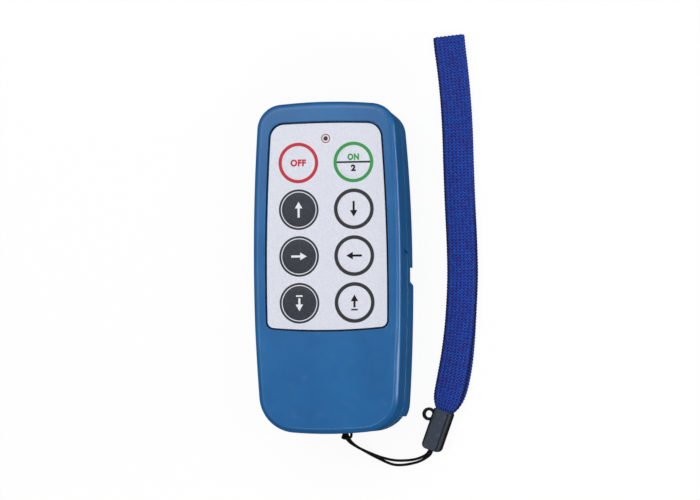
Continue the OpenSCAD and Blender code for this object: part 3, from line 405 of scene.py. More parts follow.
def edge_profile(stretches):
    """Insets and drops of the front edge, from the wall up to the face."""
    walk, run, drop = [(0, 0)], 0, 0
    for length, slope0, slope1 in stretches:
        for k in range(EDGE_STEPS):
            slope = radians(slope0 + (slope1 - slope0) * (k + 0.5) / EDGE_STEPS)
            run += length / EDGE_STEPS * cos(slope)
            drop += length / EDGE_STEPS * sin(slope)
            walk.append((run, drop))
    return [(run - gone, down) for gone, down in reversed(walk)]


front_rings = [ring_at(CASE, SHELL_WALL, PANEL_UNDER), ring_at(CASE, SHELL_WALL, SPLIT_Z),
               ring_at(CASE, LIP, SPLIT_Z), ring_at(CASE, LIP_MIDDLE, SPLIT_Z + LIP_MIDDLE),
               ring_at(CASE, 0, SPLIT_Z + LIP)]
for (tight, tight_drop), (soft, soft_drop) in zip(edge_profile(PALM_EDGE), edge_profile(KEYPAD_EDGE)):
    ring = []
    for a, b in zip(outline(CASE, tight), outline(CASE, soft)):
        t = min(max((a[1] - EDGE_FROM_Y) / (EDGE_TO_Y - EDGE_FROM_Y), 0), 1)
        t = t * t * (3 - 2 * t)
        ring.append((a[0] + (b[0] - a[0]) * t, a[1] + (b[1] - a[1]) * t,
                     CASE_H - fall(a[1]) - tight_drop - (soft_drop - tight_drop) * t))
    front_rings.append(ring)
outer = front_rings[-1]
inner = outline(SHEET, -BED_GAP - BED_ROUND)
for k in range(1, FACE_STEPS + 1):
    t = k / FACE_STEPS
    flat = [(a[0] + (b[0] - a[0]) * t, a[1] + (b[1] - a[1]) * t) for a, b in zip(outer, inner)]
    front_rings.append([(x, y, CASE_H - fall(y)) for x, y in flat])
front_rings += [ring_at(SHEET, -BED_GAP - BED_ROUND * s, CASE_H - BED_ROUND * c)
                for s, c in quarter(4)[1:]]
front_rings += [ring_at(SHEET, -BED_GAP, GLUE_GROOVE_Z), ring_at(SHEET, BED_IN, GLUE_GROOVE_Z),
                ring_at(SHEET, BED_IN, PANEL_TOP)]
front = piece("blue_front_shell", skin(front_rings))


def bored(key_r, key_sides, lens_r, lens_sides, low, high):
    """The bores of the eight keys and the indicator between two heights."""
    bores = bmesh.new()
    for centre in KEY_PLACES.values():
        lathe(bores, ((key_r, low), (key_r, high)), (*centre, 0), key_sides)
    return lathe(bores, ((lens_r, low), (lens_r, high)), (*INDICATOR, 0), lens_sides)


cut(front, bored(KEY_BORE_R, 64, LENS_BORE_R, 64, PANEL_UNDER - OVER, PANEL_TOP + OVER))
posts = bmesh.new()
posts.from_mesh(front.data)
bmesh.ops.scale(posts, vec=(1 / MM,) * 3, verts=posts.verts)
for places, (r, hole, low) in ((CASE_SCREWS, CASE_POST), (BOARD_SCREWS, BOARD_POST)):
    for x, y in places:
        lathe(posts, ((hole, PANEL_UNDER - OVER), (hole, low), (r - POST_ROUND, low),
                      (r, low + POST_ROUND), (r, PANEL_UNDER)), (x, y, 0), 32)
bpy.data.objects.remove(front)
front = piece("blue_front_shell", posts)
crisp(front)


def moulded_blue(place):
    """Blue plastic with faint patches, a fine grain and a few rubbed places."""
    patches = noise(place, 0.05, 4.0)
    grain = noise(place, 2.4, 2.0)
    rubbed = noise(place, 0.25, 4.0).step(0.52, 0.8)
    tone = patches.step(0.3, 0.7).mix(colour(14, 90, 149), colour(24, 100, 160))
    return {"Base Color": (0.16 * rubbed + 0.12 * grain).mix(tone, colour(52, 114, 168)),
            "Roughness": 0.27 + 0.08 * rubbed + 0.04 * grain,
            "height": 0.0015 * grain}


case_finish = finish("moulded_blue", moulded_blue)
dress([front], case_finish)
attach(front, "case")
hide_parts("front_shell")


# --- Rear shell ---
# The lower shell is the same moulded blue plastic, a step narrower than the upper one. Its back
# rises at both ends, and it holds the cell bay, four screw wells and the pocket of the lanyard pin.
SHELL_STEP, BACK_FILLET, TOP_DRAFT, FULLER_CORNER = 0.4, 1.4, 2, 3.5
LOW_RISE_Y, LOW_RISE, TOP_RISE_Y, TOP_RISE = -48, 2.5, 5, 3
PART_LINE, PART_LINE_H, PART_LINE_ROUND = 0.35, 0.5, 0.05
COVER_Y0, COVER_Y1, COVER_H, COVER_T, COVER_GAP, COVER_LEAN = -58.4, -5.05, 11.5, 1.8, 0.2, 0.15
# The groove over the cover: depth, and height above the cover's upper edge
COVER_GROOVE = ((0, 0), (0.05, 0.03), (0.6, 0.22), (0.6, 0.58), (0.05, 0.77), (0, 0.8))
CELL_R, CELL_L, CELL_X, CELL_Z = 7.25, 50.5, 7.45, 9.3
BAY_Y0, BAY_Y1, BAY_HALF_W, BAY_TOP, BAY_DIP = -58.15, -4.65, 14.95, 16.8, 0.05
BAY_OUT_X, BAY_OUT_Y0, BAY_OUT_Y1, BAY_OUT_TOP = 16.15, -59.6, -3.45, 18
SHELF_TOP = COVER_H + SHELL_WALL - COVER_GAP
RECESS_DEPTH, RECESS_L, RECESS_H, RECESS_BACK_X, RECESS_BACK_Y = 1.6, 5.3, 6.5, 21.9, 2.25
TAB_X, TAB_W, TAB_T, TAB_Z, TAB_L = 20.5, 4, 1.2, 2.6, 2
TAB_SLOT_W, TAB_SLOT_L, TAB_SLOT_Z0, TAB_SLOT_Z1 = 4.4, 2.4, 2.4, 5.28
SIDE_SLOT_X, SIDE_SLOT_D, SIDE_SLOT_Y, SIDE_SLOT_Z = 29.1, 1.9, (5.4, 6.9), (11, 17.6)
WELL_R, WELL_OUT_R, WELL_TOP, SCREW_SEAT, SCREW_HOLE_R = 2.5, 3.4, 21.9, 14.4, 1.4
PIN_X, PIN_Z, PIN_BLOCK_X, PIN_BLOCK_TOP = 3.6, 9, 7.7, 13.8
POCKET_W, POCKET_H, POCKET_D = 8, 7.2, 4.8


def rise(y):
    """How far the back lies above the table."""
    if y < LOW_RISE_Y:
        return LOW_RISE * ((LOW_RISE_Y - y) / (HALF_L + LOW_RISE_Y)) ** 2
    return TOP_RISE * ((y - TOP_RISE_Y) / (HALF_L - TOP_RISE_Y)) ** 2 if y > TOP_RISE_Y else 0


def drafted(inset, z, lifted=False):
    """A ring of the rear shell: towards the back its top end is drawn in and its lower corners fill."""
    ring = []
    corner = CASE[-1] - FULLER_CORNER * (1 - z / SPLIT_Z)
    for x, y in outline((*CASE[:-1], corner), inset):
        drawn = y - (TOP_DRAFT * y / HALF_L * (1 - z / SPLIT_Z) if y > 0 else 0)
        ring.append((x, drawn, z + (rise(y) if lifted else 0)))
    return ring


def rear_rings(inset, sides):
    """The rings of the rounded back, and then those of the sides."""
    return [drafted(inset + BACK_FILLET * s, BACK_FILLET * c, True) for s, c in quarter(8)] + sides


wall_rings = [drafted(SHELL_STEP + depth, COVER_H + z) for depth, z in COVER_GROOVE]
wall_rings += [drafted(SHELL_STEP, SPLIT_Z - PART_LINE_H),
               drafted(SHELL_STEP + PART_LINE, SPLIT_Z - PART_LINE_H + PART_LINE_ROUND),
               drafted(SHELL_STEP + PART_LINE, SPLIT_Z)]
rear = piece("blue_rear_shell", skin(rear_rings(SHELL_STEP, wall_rings)))
hollow = piece("hollow", skin([drafted(SHELL_STEP + SHELL_WALL, SHELL_WALL, True),
                               drafted(SHELL_STEP + SHELL_WALL, SPLIT_Z + OVER)]))
# What stays in the hollow: the bay's walls, the shelf over the cover, the walls behind both finger
# recesses, and the block round the pin
for box in ((-BAY_OUT_X, BAY_OUT_X, BAY_OUT_Y0, BAY_OUT_Y1, COVER_T, BAY_OUT_TOP),
            (-FAR, FAR, -HALF_L - OVER, BAY_OUT_Y1, 0, SHELF_TOP),
            (RECESS_BACK_X, FAR, BAY_Y1, RECESS_BACK_Y, 0, SHELF_TOP),
            (-FAR, -RECESS_BACK_X, BAY_Y1, RECESS_BACK_Y, 0, SHELF_TOP),
            (PIN_X - PIN_BLOCK_X, PIN_X + PIN_BLOCK_X, -HALF_L - OVER, COVER_Y0, 0, PIN_BLOCK_TOP)):
    cut(hollow, box_of(None, *box))
wells = bmesh.new()
for x, y in CASE_SCREWS:
    lathe(wells, ((WELL_OUT_R, -OVER), (WELL_OUT_R, WELL_TOP)), (x, y, 0), 32)
cut(hollow, wells)
cut(rear, hollow)


def cover_room(y0, y1, top):
    """The space of the cover between two places in y, with its leaning upper end."""
    side = ((y0, -OVER), (y1, -OVER), (y1, 0), (y1 - COVER_LEAN * top, top), (y0, top))
    mesh = bmesh.new()
    bridge(mesh, [[(x, y, z) for y, z in side] for x in (-FAR, FAR)])
    return mesh


room = piece("room", cover_room(COVER_Y0, COVER_Y1, COVER_H))
cut(room, box_of(None, -BAY_OUT_X, BAY_OUT_X, BAY_OUT_Y0, BAY_OUT_Y1,
                 COVER_T + COVER_GAP / 2, BAY_OUT_TOP))
cut(rear, room)
cut(rear, box_of(None, -BAY_HALF_W, BAY_HALF_W, BAY_Y0, BAY_Y1, COVER_T - BAY_DIP, BAY_TOP))
cuts = bmesh.new()
for side in (-1, 1):
    x0, x1 = sorted((side * (HALF_W - RECESS_DEPTH), side * FAR))
    box_of(cuts, x0, x1, COVER_Y1 - OVER, COVER_Y1 + RECESS_L, -OVER, RECESS_H)
    box_of(cuts, side * TAB_X - TAB_SLOT_W / 2, side * TAB_X + TAB_SLOT_W / 2,
           COVER_Y0 - TAB_SLOT_L, COVER_Y0 + OVER, TAB_SLOT_Z0, TAB_SLOT_Z1)
    box_of(cuts, side * SIDE_SLOT_X - SIDE_SLOT_D, side * SIDE_SLOT_X + SIDE_SLOT_D,
           *SIDE_SLOT_Y, *SIDE_SLOT_Z)
box_of(cuts, PIN_X - POCKET_W / 2, PIN_X + POCKET_W / 2, -HALF_L - OVER, -HALF_L + POCKET_D,
       PIN_Z - POCKET_H / 2, PIN_Z + POCKET_H / 2)
for x, y in CASE_SCREWS:
    lathe(cuts, ((WELL_R, -OVER), (WELL_R, SCREW_SEAT), (SCREW_HOLE_R, SCREW_SEAT),
                 (SCREW_HOLE_R, SPLIT_Z + 2 * OVER)), (x, y, 0), 32)
cut(rear, cuts)
# Below the cover the back keeps the tight corners of the front shell
heel = piece("heel", box_of(None, -FAR, FAR, -HALF_L - 5 * OVER, COVER_Y0, -OVER, COVER_H))
cut(heel, skin([ring_at(CASE, SHELL_STEP, -2 * OVER), ring_at(CASE, SHELL_STEP, COVER_H + OVER)]))
cut(rear, heel)
crisp(rear, bevel=0.1)
dress([rear], case_finish)
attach(rear, "case")
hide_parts("rear_shell")


# --- Battery cover ---
# The cover is a shallow blue tray that wraps round the lower half of the back. Two tabs hold its
# lower edge, and two latches hold its upper edge, beside the finger recesses.
COVER_INSET, COVER_WALL, COVER_LOW_GAP = 0.1, 1.6, 0.04
SLANT_W, SLANT_L = 1.6, 1.9
TAB_ROOT, LATCH_H = 0.3, 4.5
c_y0, c_y1, c_top = COVER_Y0 + COVER_LOW_GAP, COVER_Y1 - COVER_GAP, COVER_H - COVER_GAP
cover = piece("blue_battery_cover", skin(rear_rings(COVER_INSET, [drafted(COVER_INSET, COVER_H)])))
cut(cover, cover_room(c_y0, c_y1, c_top), "INTERSECT")
cut(cover, skin([ring_at(CASE, COVER_INSET + COVER_WALL, z) for z in (COVER_T, COVER_H + OVER)]))
slants = bmesh.new()
for side in (-1, 1):
    corners = [(-SLANT_W, OVER), (-SLANT_W, 0), (0, -SLANT_L), (OVER, -SLANT_L), (OVER, OVER)]
    bridge(slants, [[(side * (HALF_W + dx), c_y1 + dy, z) for dx, dy in corners]
                    for z in (-OVER, COVER_H + OVER)])
cut(cover, slants)
crisp(cover, bevel=0.1)
tabs = bmesh.new()
for side in (-1, 1):
    x0, x1 = side * TAB_X - TAB_W / 2, side * TAB_X + TAB_W / 2
    box_of(tabs, x0, x1, c_y0, c_y0 + TAB_T, rise(c_y0) + TAB_ROOT, TAB_Z + TAB_T)
    box_of(tabs, x0, x1, c_y0 - TAB_L, c_y0 + TAB_T, TAB_Z, TAB_Z + TAB_T)
    lean = COVER_LEAN * c_top
    box_of(tabs, x0, x1, c_y1 - lean - TAB_T, c_y1 - lean, COVER_T - BAY_DIP, COVER_T + LATCH_H)
tabs = piece("blue_cover_tabs", tabs)
crisp(tabs, bevel=0.08)
dress([cover, tabs], case_finish)
for obj in (cover, tabs):
    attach(obj, "battery_cover")
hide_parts("battery_cover")


# --- Keypad sheet ---
# One printed silver film, glued into the bed of the front shell. A ring is printed round each key,
# and a thin red ring round the indicator. Three keys are printed dark.
KEY_WINDOW_R, LENS_WINDOW_R = 6.6, 0.9
DARK_KEYS = ("up", "east", "south")
SILVER, SLATE, INK = colour(222, 225, 237), colour(34, 41, 54), colour(20, 23, 30)
RED, GREEN, BLACK = colour(190, 8, 42), colour(30, 146, 62), colour(16, 18, 22)
# Radii of the printing: outside and inside of the rings, then the dark discs, and the bar's half
# length and half width. BLUR is half the width of a printed edge.
RING_R, DARK_RING_R, COLOURED_RING_R, PLAIN_RING_R = 7.95, 7.13, 6.62, 6.5
DARK_DISC_R, BAR_R, BAR_W, LENS_RING_R0, LENS_RING_R1, BLUR = 6.77, 6.7, 0.37, 1.4, 1.8, 0.05


def printed_film(place):
    grain = noise(place, 3.5, 3.0)
    x, y, _ = place.parts()
    flat = place.node("CombineXYZ", (), {0: x, 1: y})

    def off(centre):
        """Distance from an upright axis, in millimetres."""
        return flat.node("VectorMath", {"operation": "DISTANCE"},
                         {0: flat, 1: (centre[0] * MM, centre[1] * MM, 0)}, 1) / MM

    def past(far, limit):
        """1 beyond a distance, and 0 nearer."""
        return far.step(limit - BLUR, limit + BLUR)

    def ring(far, low, high=RING_R):
        return past(far, low) - past(far, high)

    speckle = noise(place, 1.1, 3.0)
    tone = (0.5 * grain + 0.5 * speckle).step(0.35, 0.65).mix(colour(211, 214, 225), SILVER)
    dark = speckle.step(0.35, 0.65).mix(colour(24, 30, 42), SLATE)
    for key, centre in KEY_PLACES.items():
        far = off(centre)
        if key in DARK_KEYS:
            tone = ring(far, DARK_RING_R).mix(tone, INK)
            tone = (1 - past(far, DARK_DISC_R)).mix(tone, dark)
        elif key == "stop":
            tone = ring(far, COLOURED_RING_R).mix(tone, RED)
        elif key == "start":
            tone = ring(far, COLOURED_RING_R).mix(tone, GREEN)
            bar = 1 - past((y / MM - centre[1]).math("ABSOLUTE"), BAR_W)
            tone = (bar * (1 - past(far, BAR_R))).mix(tone, BLACK)
        else:
            tone = ring(far, PLAIN_RING_R).mix(tone, INK)
    tone = ring(off(INDICATOR), LENS_RING_R0, LENS_RING_R1).mix(tone, colour(176, 24, 44))
    return {"Base Color": tone, "Roughness": 0.4 + 0.15 * grain, "height": 0.012 * grain}


def plain_ink(tone):
    """A look of one ink, a little uneven."""
    def look(place):
        grain = noise(place, 6.0)
        r, g, b = (c * 0.9 for c in tone[:3])
        return {"Base Color": grain.step(0.2, 0.8).mix((r, g, b, 1), tone),
                "Roughness": 0.4 + 0.1 * grain}
    return look


FILM_IN, FILM_ROUND, FILM_EDGE_W, FILM_EDGE_H, FILM_FLAT = 0.1, 0.05, 0.6, 0.34, 0.97
# The black ink prints the signs, and on the sheet's cut edges it paints the shade of the gap round the
# sheet
black_ink_and_shade = finish("black_ink_and_shade", plain_ink(colour(16, 18, 23)), Specular_IOR_Level=0.15)
film_finish = finish("printed_film", printed_film)
film_rings = [ring_at(SHEET, FILM_IN + FILM_ROUND, PANEL_TOP),
              ring_at(SHEET, FILM_IN, PANEL_TOP + FILM_ROUND)]
film_rings += [ring_at(SHEET, FILM_IN + FILM_EDGE_W * c, SHEET_TOP - FILM_EDGE_H * s)
               for s, c in quarter(8)]
film = piece("silver_keypad_film", skin(film_rings))
cut(film, bored(KEY_WINDOW_R, 96, LENS_WINDOW_R, 32, PANEL_TOP - OVER, SHEET_TOP + OVER))
crisp(film)
dress([film], film_finish)
film.data.materials.append(black_ink_and_shade)
# The sheet's sloped cut edges take the black ink as painted shade of the dark gap round the sheet
for face in film.data.polygons:
    face.material_index = int(abs(face.normal.z) < FILM_FLAT)
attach(film, "case")
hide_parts("keypad_sheet")


# --- Keys ---
# Each key is an embossed dome of the same film over a white plunger and a switch stem. DOME is radius,
# and height above the sheet.
DOME = ((6.55, -0.48), (6.6, -0.42), (6.6, -0.003), (6.5, 0.002), (6.3, 0.02), (6.15, 0.06),
        (6.02, 0.13), (5.88, 0.19), (5.7, 0.22), (5.3, 0.235), (3, 0.245), (0.2, 0.25))
for key, (x, y) in KEY_PLACES.items():
    dome = piece(key + "_film_dome",
                 lathe(None, [(r, SHEET_TOP + z) for r, z in DOME], (x, y, 0), 96))
    dress([dome], film_finish)
    key + "_key"
    x * MM
    y * MM
    x * MM
    y * MM
    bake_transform(dome)
    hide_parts(key + "_film_disc")
    "dark_film" if key in DARK_KEYS else "silver_film"


# --- Key signs ---
# The signs are printed on the keys in one ink each: ON, OFF and a plain number, and arrows for the
# six directions.
SIGN_Z, SIGN_T = SHEET_TOP + DOME[-1][1], 0.03
ARROW_TIP, HEAD_FROM, HEAD_W, SHAFT_W = 3.1, 0.5, 1.5, 0.42
BARRED_TAIL, BAR_FROM, TAIL_BAR_W = -1.9, -2.5, 1.3
LETTER_BOLD, LETTER_SPACING = 0.055, 1.12
white_ink = finish("white_ink", plain_ink(colour(232, 235, 242)))
red_ink, green_ink = finish("red_ink", plain_ink(RED)), finish("green_ink", plain_ink(GREEN))


def lettered(name, words, wide, tall):
    """Bold narrow lettering of a given width and height, with its middle at the origin."""
    data = bpy.data.curves.new(name, "FONT")
    data.body, data.extrude = words, 0.01
    data.offset, data.space_character = LETTER_BOLD, LETTER_SPACING
    source = bpy.data.objects.new(name, data)
    mesh = bmesh.new()
    mesh.from_mesh(source.to_mesh())
    for i, (start, size) in enumerate(((-wide / 2, wide), (-tall / 2, tall), (SIGN_Z, SIGN_T))):
        low, high = (pick(v.co[i] for v in mesh.verts) for pick in (min, max))
        for v in mesh.verts:
            v.co[i] = start + (v.co[i] - low) / (high - low) * size
    bpy.data.objects.remove(source)
    return mesh


def arrow(turn, barred):
    """A broad arrow that points along turn, with a bar behind its tail where it is barred."""
    tail = BARRED_TAIL if barred else -ARROW_TIP
    parts = [[(tail, SHAFT_W), (HEAD_FROM, SHAFT_W), (HEAD_FROM, HEAD_W), (ARROW_TIP, 0),
              (HEAD_FROM, -HEAD_W), (HEAD_FROM, -SHAFT_W), (tail, -SHAFT_W)]]
    if barred:
        parts.append([(-ARROW_TIP, TAIL_BAR_W), (BAR_FROM, TAIL_BAR_W),
                      (BAR_FROM, -TAIL_BAR_W), (-ARROW_TIP, -TAIL_BAR_W)])
    mesh = bmesh.new()
    for part in parts:
        bridge(mesh, [[(x * cos(turn) - y * sin(turn), x * sin(turn) + y * cos(turn), z)
                       for x, y in part] for z in (SIGN_Z, SIGN_Z + SIGN_T)])
    return mesh


signs = [("stop", "off_sign", lettered("off_sign", "OFF", 6.2, 2.75), red_ink, 0),
         ("start", "on_sign", lettered("on_sign", "ON", 4.6, 2.6), green_ink, 2.0),
         ("start", "number_sign", lettered("number_sign", "2", 1.9, 2.6), black_ink_and_shade, -2.3)]
for key, turn, barred in (("up", pi / 2, False), ("down", -pi / 2, False), ("east", 0, False),
                          ("west", pi, False), ("south", -pi / 2, True), ("north", pi / 2, True)):
    ink = white_ink if key in DARK_KEYS else black_ink_and_shade
    signs.append((key, key + "_sign", arrow(turn, barred), ink, 0))
for key, name, mesh, ink, up in signs:
    x, y = KEY_PLACES[key]
    bmesh.ops.translate(mesh, vec=(x, y + up, 0), verts=mesh.verts)
    sign = piece(name, mesh)
    dress([sign], ink)
    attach(sign, key + "_key")


# --- Wrist strap ---
# A 12 mm knitted webbing strap, royal blue, folded back at its far end. The clamp gathers and
# grips both of its ends.
STRAP_W, STRAP_T, STRAP_L, NECK_W, STRAP_IN, LAYER_GAP = 12, 1.3, 146.6, 7.2, 6, 0.3
CLAMP_AT, CLAMP_TURN = Vector((38.75, -64)), radians(20)
CLAMP_W, CLAMP_L, CLAMP_H = 8, 16.4, 5
STRAP_LEAN, STRAP_LIFT, RAMP = radians(1.2), 0.65, 0.09
COLUMN, STITCH, COLUMN_DEPTH, CHAIN_DEPTH = 1.5, 1.2, 0.22, 0.07
CHAIN_SLANT, FOLD_SCALLOP = 0.75, 0.16
EDGE_WAVE, EDGE_FROM, EDGE_THIN, SIDES = 0.1, 0.86, 0.25, 25
GRIP_STEPS, STRAP_STEPS, FOLD_STEPS = 20, 34, 12
# How far the lower layer lies aside of the upper one, and where along the strap
ASIDE, ASIDE_FROM, ASIDE_SHARE = 0.9, 0.06, 0.36
# Along the strap: share of its length, bow to the side, and share of its full width
STRAP_SHARES = [(0, 0, 0), (0.02, 0.006, 0.66), (0.045, 0.0115, 0.94), (0.09, 0.02, 1), (0.15, 0.03, 1),
                (0.22, 0.038, 1), (0.29, 0.0425, 1), (0.37, 0.0442, 1), (0.46, 0.041, 1),
                (0.56, 0.035, 1), (0.66, 0.03, 1), (0.76, 0.0255, 1), (0.85, 0.0185, 1),
                (0.92, 0.0105, 1.02), (0.97, 0.0035, 1.05), (1, 0, 1.06)]
clamp_way = Vector((sin(CLAMP_TURN), cos(CLAMP_TURN)))
mouth = CLAMP_AT + clamp_way * CLAMP_L / 2
along = Vector((sin(STRAP_LEAN), cos(STRAP_LEAN))) * STRAP_L
aside = Vector((cos(STRAP_LEAN), -sin(STRAP_LEAN))) * STRAP_L
stations = [(mouth - clamp_way * STRAP_IN * k / GRIP_STEPS, NECK_W, STRAP_LIFT)
            for k in range(GRIP_STEPS, 0, -1)]
for share, bow, width in smooth_route(STRAP_SHARES, STRAP_STEPS):
    ramp = max(0, 1 - share / RAMP)
    stations.append((mouth + along * share + aside * bow,
                     NECK_W + (STRAP_W - NECK_W) * width,
                     STRAP_LIFT * ramp * ramp * (3 - 2 * ramp)))
lower, upper = STRAP_T / 2, STRAP_T / 2 + STRAP_T + LAYER_GAP
fold_r = (upper - lower) / 2
rings = []
for i, (place, width, lift) in enumerate(stations):
    way = (stations[min(i + 1, len(stations) - 1)][0] - stations[max(i - 1, 0)][0]).normalized()
    part = min(max((i / len(stations) - ASIDE_FROM) / ASIDE_SHARE, 0), 1)
    layer_aside = Vector((way[1], -way[0], 0)) * ASIDE * sin(pi * part) ** 2
    rings.append((place.to_3d() + Vector((0, 0, lower + lift)), way, width,
                  Vector((0, 0, 1)), layer_aside))
end_way, end_width = rings[-1][1:3]
fold_middle = stations[-1][0].to_3d() + Vector((0, 0, lower + fold_r))
outward, still = end_way.to_3d(), Vector()
fold = []
for k in range(1, FOLD_STEPS):
    a = pi * k / FOLD_STEPS
    inward = Vector((0, 0, cos(a))) - outward * sin(a)
    fold.append((fold_middle - fold_r * inward, end_way, end_width, inward, still))
back = [(place + Vector((0, 0, upper - lower)), way, width, Vector((0, 0, -1)), still)
        for place, way, width, normal, moved in reversed(rings)]
rings += fold + back
webbing = bmesh.new()
weave = webbing.loops.layers.uv.new("weave")
travelled, last, loops, spots = 0, rings[0][0], [], []
for centre, way, width, normal, moved in rings:
    travelled += (centre - last).length
    last = centre
    side = Vector((way[1], -way[0], 0))
    half_w = width / 2 + EDGE_WAVE * cos(2 * pi * travelled / STITCH)
    ring = []
    for face in (-1, 1):
        for k in range(SIDES):
            t = (k / (SIDES - 1) * 2 - 1) * -face
            c = t * STRAP_W / 2
            edge = sqrt(max(0, 1 - (max(abs(t) - EDGE_FROM, 0) / (1 - EDGE_FROM)) ** 2))
            column = abs(cos(pi * c / COLUMN)) ** 0.7
            slant = CHAIN_SLANT * abs(2 * ((c / COLUMN) % 1) - 1)
            chain = cos(2 * pi * (travelled / STITCH + slant))
            thick = (STRAP_T / 2 * (EDGE_THIN + (1 - EDGE_THIN) * edge)
                     - COLUMN_DEPTH * (1 - column) - CHAIN_DEPTH * (1 - chain))
            scallop = (way.to_3d() * FOLD_SCALLOP * cos(2 * pi * c / COLUMN)
                       * hypot(normal[0], normal[1]))
            ring.append(centre + moved + scallop + side * t * half_w + normal * face * thick)
            spots.append((travelled, c))
    loops.append(ring)
bridge(webbing, loops)
webbing.verts.index_update()
for face in webbing.faces:
    for loop in face.loops:
        loop[weave].uv = spots[loop.vert.index]
strap = piece("blue_wrist_strap", webbing)


def knitted(place):
    """Slanted loops in columns, with a darker left edge, and painted shadow along the right edge where
    the upper layer runs back to the clamp and the lower layer shows beside it.
    """
    a, c = place.node("UVMap", {"uv_map": "weave"}).parts()[:2]
    yarns = noise(place, 0.9, 3.0)
    fibres = noise(place, 7.0, 2.0)
    column = (c * (pi / COLUMN)).math("COSINE").math("ABSOLUTE")
    spread = (c / COLUMN).math("FRACT")
    inside = (spread * 2 - 1).math("ABSOLUTE")
    chain = ((a / STITCH + CHAIN_SLANT * inside) * (2 * pi)).math("COSINE") * 0.5 + 0.5
    ply = ((a / STITCH * 3 + 3 * CHAIN_SLANT * inside) * (2 * pi)).math("COSINE") * 0.5 + 0.5
    loops = (0.72 * chain + 0.28 * column).step(0.1, 0.65)
    shadowed_stretch = a.step(205, 235)
    # The right edge's dark over the upper layer's return stretch is painted shadow of that layer's edge
    # on the lower one
    edge = (c * -1).step(5.0, 5.6) + c.step(5.2, 5.7) * shadowed_stretch
    yarn = (yarns + 0.2 * spread).step(0.45, 0.75).mix(colour(24, 78, 182), colour(46, 42, 136))
    body = loops.mix(colour(20, 24, 92), yarn)
    body = (0.25 * ply * loops).mix(body, colour(36, 104, 206))
    return {"Base Color": (0.9 * edge).mix(body, colour(6, 8, 34)), "Roughness": 0.7 + 0.2 * fibres,
            "height": 0.16 * loops + 0.05 * ply + 0.05 * fibres}


dress([strap], finish("knitted_webbing", knitted, Specular_IOR_Level=0.25))
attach(strap, "case")
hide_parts("wrist_strap")
(2 * (STRAP_L + STRAP_IN) + pi * fold_r) * MM


# --- Cord clamp ---
# A moulded slate-black clamp in two parts, a body with a side ring and a flat cover, which grip
# the strap's ends and the cord's ends.
CORD_CORNER, MOUTH_CORNER, EDGE_ROUND, CROWN_W, CROWN_H = 2.0, 0.6, 0.5, 1.9, 0.85
RING_AT, LOOP_R, LOOP_ROUND, LOOP_Z0, LOOP_Z1 = Vector((-5.4, 5)), 2.6, 0.5, 1.5, 3.5
EYE_R, EYE_ROUND, EYE_Z0, EYE_Z1 = 1.4, 0.4, 1.1, 3.1
LID_T, LID_GAP, STRIP_W, SEAM = 0.9, 0.01, 1.4, 0.6
MOUTH_W, MOUTH_Z, MOUTH_H, MOUTH_L = 7.35, 0.45, 3.2, 6.2
SLOT_W, SLOT_Z0, SLOT_Z1, SLOT_L = 2.2, 1.5, 2.6, 2.8


def clamp_ring(inset, end_inset, z):
    """The clamp's outline, with its broad round corners towards the cord."""
    ring = []
    for sx, sy, corner in ((1, -1, CORD_CORNER), (1, 1, MOUTH_CORNER),
                           (-1, 1, MOUTH_CORNER), (-1, -1, CORD_CORNER)):
        r = max(corner - inset, 0.1)
        for k in range(9):
            a = atan2(sy, sx) - pi / 4 + pi / 2 * k / 8
            ring.append((sx * (CLAMP_W / 2 - inset - r) + r * cos(a),
                         sy * (CLAMP_L / 2 - end_inset - r) + r * sin(a), z))
    return ring


def clamp_block():
    """The whole clamp as one block, with rounded lower edges and a crowned top."""
    rings = [clamp_ring(EDGE_ROUND * s, EDGE_ROUND * s, EDGE_ROUND * c) for s, c in quarter(5)]
    rings += [clamp_ring(CROWN_W * c, EDGE_ROUND * c, CLAMP_H - CROWN_H * s) for s, c in quarter(10)]
    mesh = bmesh.new()
    bridge(mesh, rings)
    return mesh


clamp = piece("clamp_body", clamp_block())
ring_profile = [(LOOP_R - LOOP_ROUND * (1 - cos(a)),
                 (LOOP_Z0 + LOOP_ROUND if a < 0 else LOOP_Z1 - LOOP_ROUND) + LOOP_ROUND * sin(a))
                for a in (-pi / 2 + pi * k / 12 for k in range(13))]
cut(clamp, lathe(None, ring_profile, (*RING_AT, 0), 48), "UNION")
# The cover's seat, the strap's mouth and the cord's slot
for box in ((-FAR, CLAMP_W / 2 - STRIP_W, -FAR, FAR, CLAMP_H - LID_T, CLAMP_H + OVER),
            (-MOUTH_W / 2, MOUTH_W / 2, CLAMP_L / 2 - MOUTH_L, FAR, MOUTH_Z, MOUTH_Z + MOUTH_H),
            (-SLOT_W / 2, SLOT_W / 2, -FAR, SLOT_L - CLAMP_L / 2, SLOT_Z0, SLOT_Z1)):
    cut(clamp, box_of(None, *box))
eye = [(EYE_R + EYE_ROUND * (1 - cos(pi / 8 * k)), z + EYE_ROUND * sin(pi / 8 * k))
       for z, steps in ((EYE_Z0, (-4, -2, 0)), (EYE_Z1, (0, 1, 2, 3, 4))) for k in steps]
cut(clamp, lathe(None, eye, (*RING_AT, 0), 48))
crisp(clamp, bevel=0.08)
lid = piece("clamp_cover", clamp_block())
cut(lid, box_of(None, -FAR, CLAMP_W / 2 - STRIP_W - SEAM, -FAR, FAR,
                CLAMP_H - LID_T + LID_GAP, CLAMP_H + OVER), "INTERSECT")
crisp(lid, bevel=0.08)


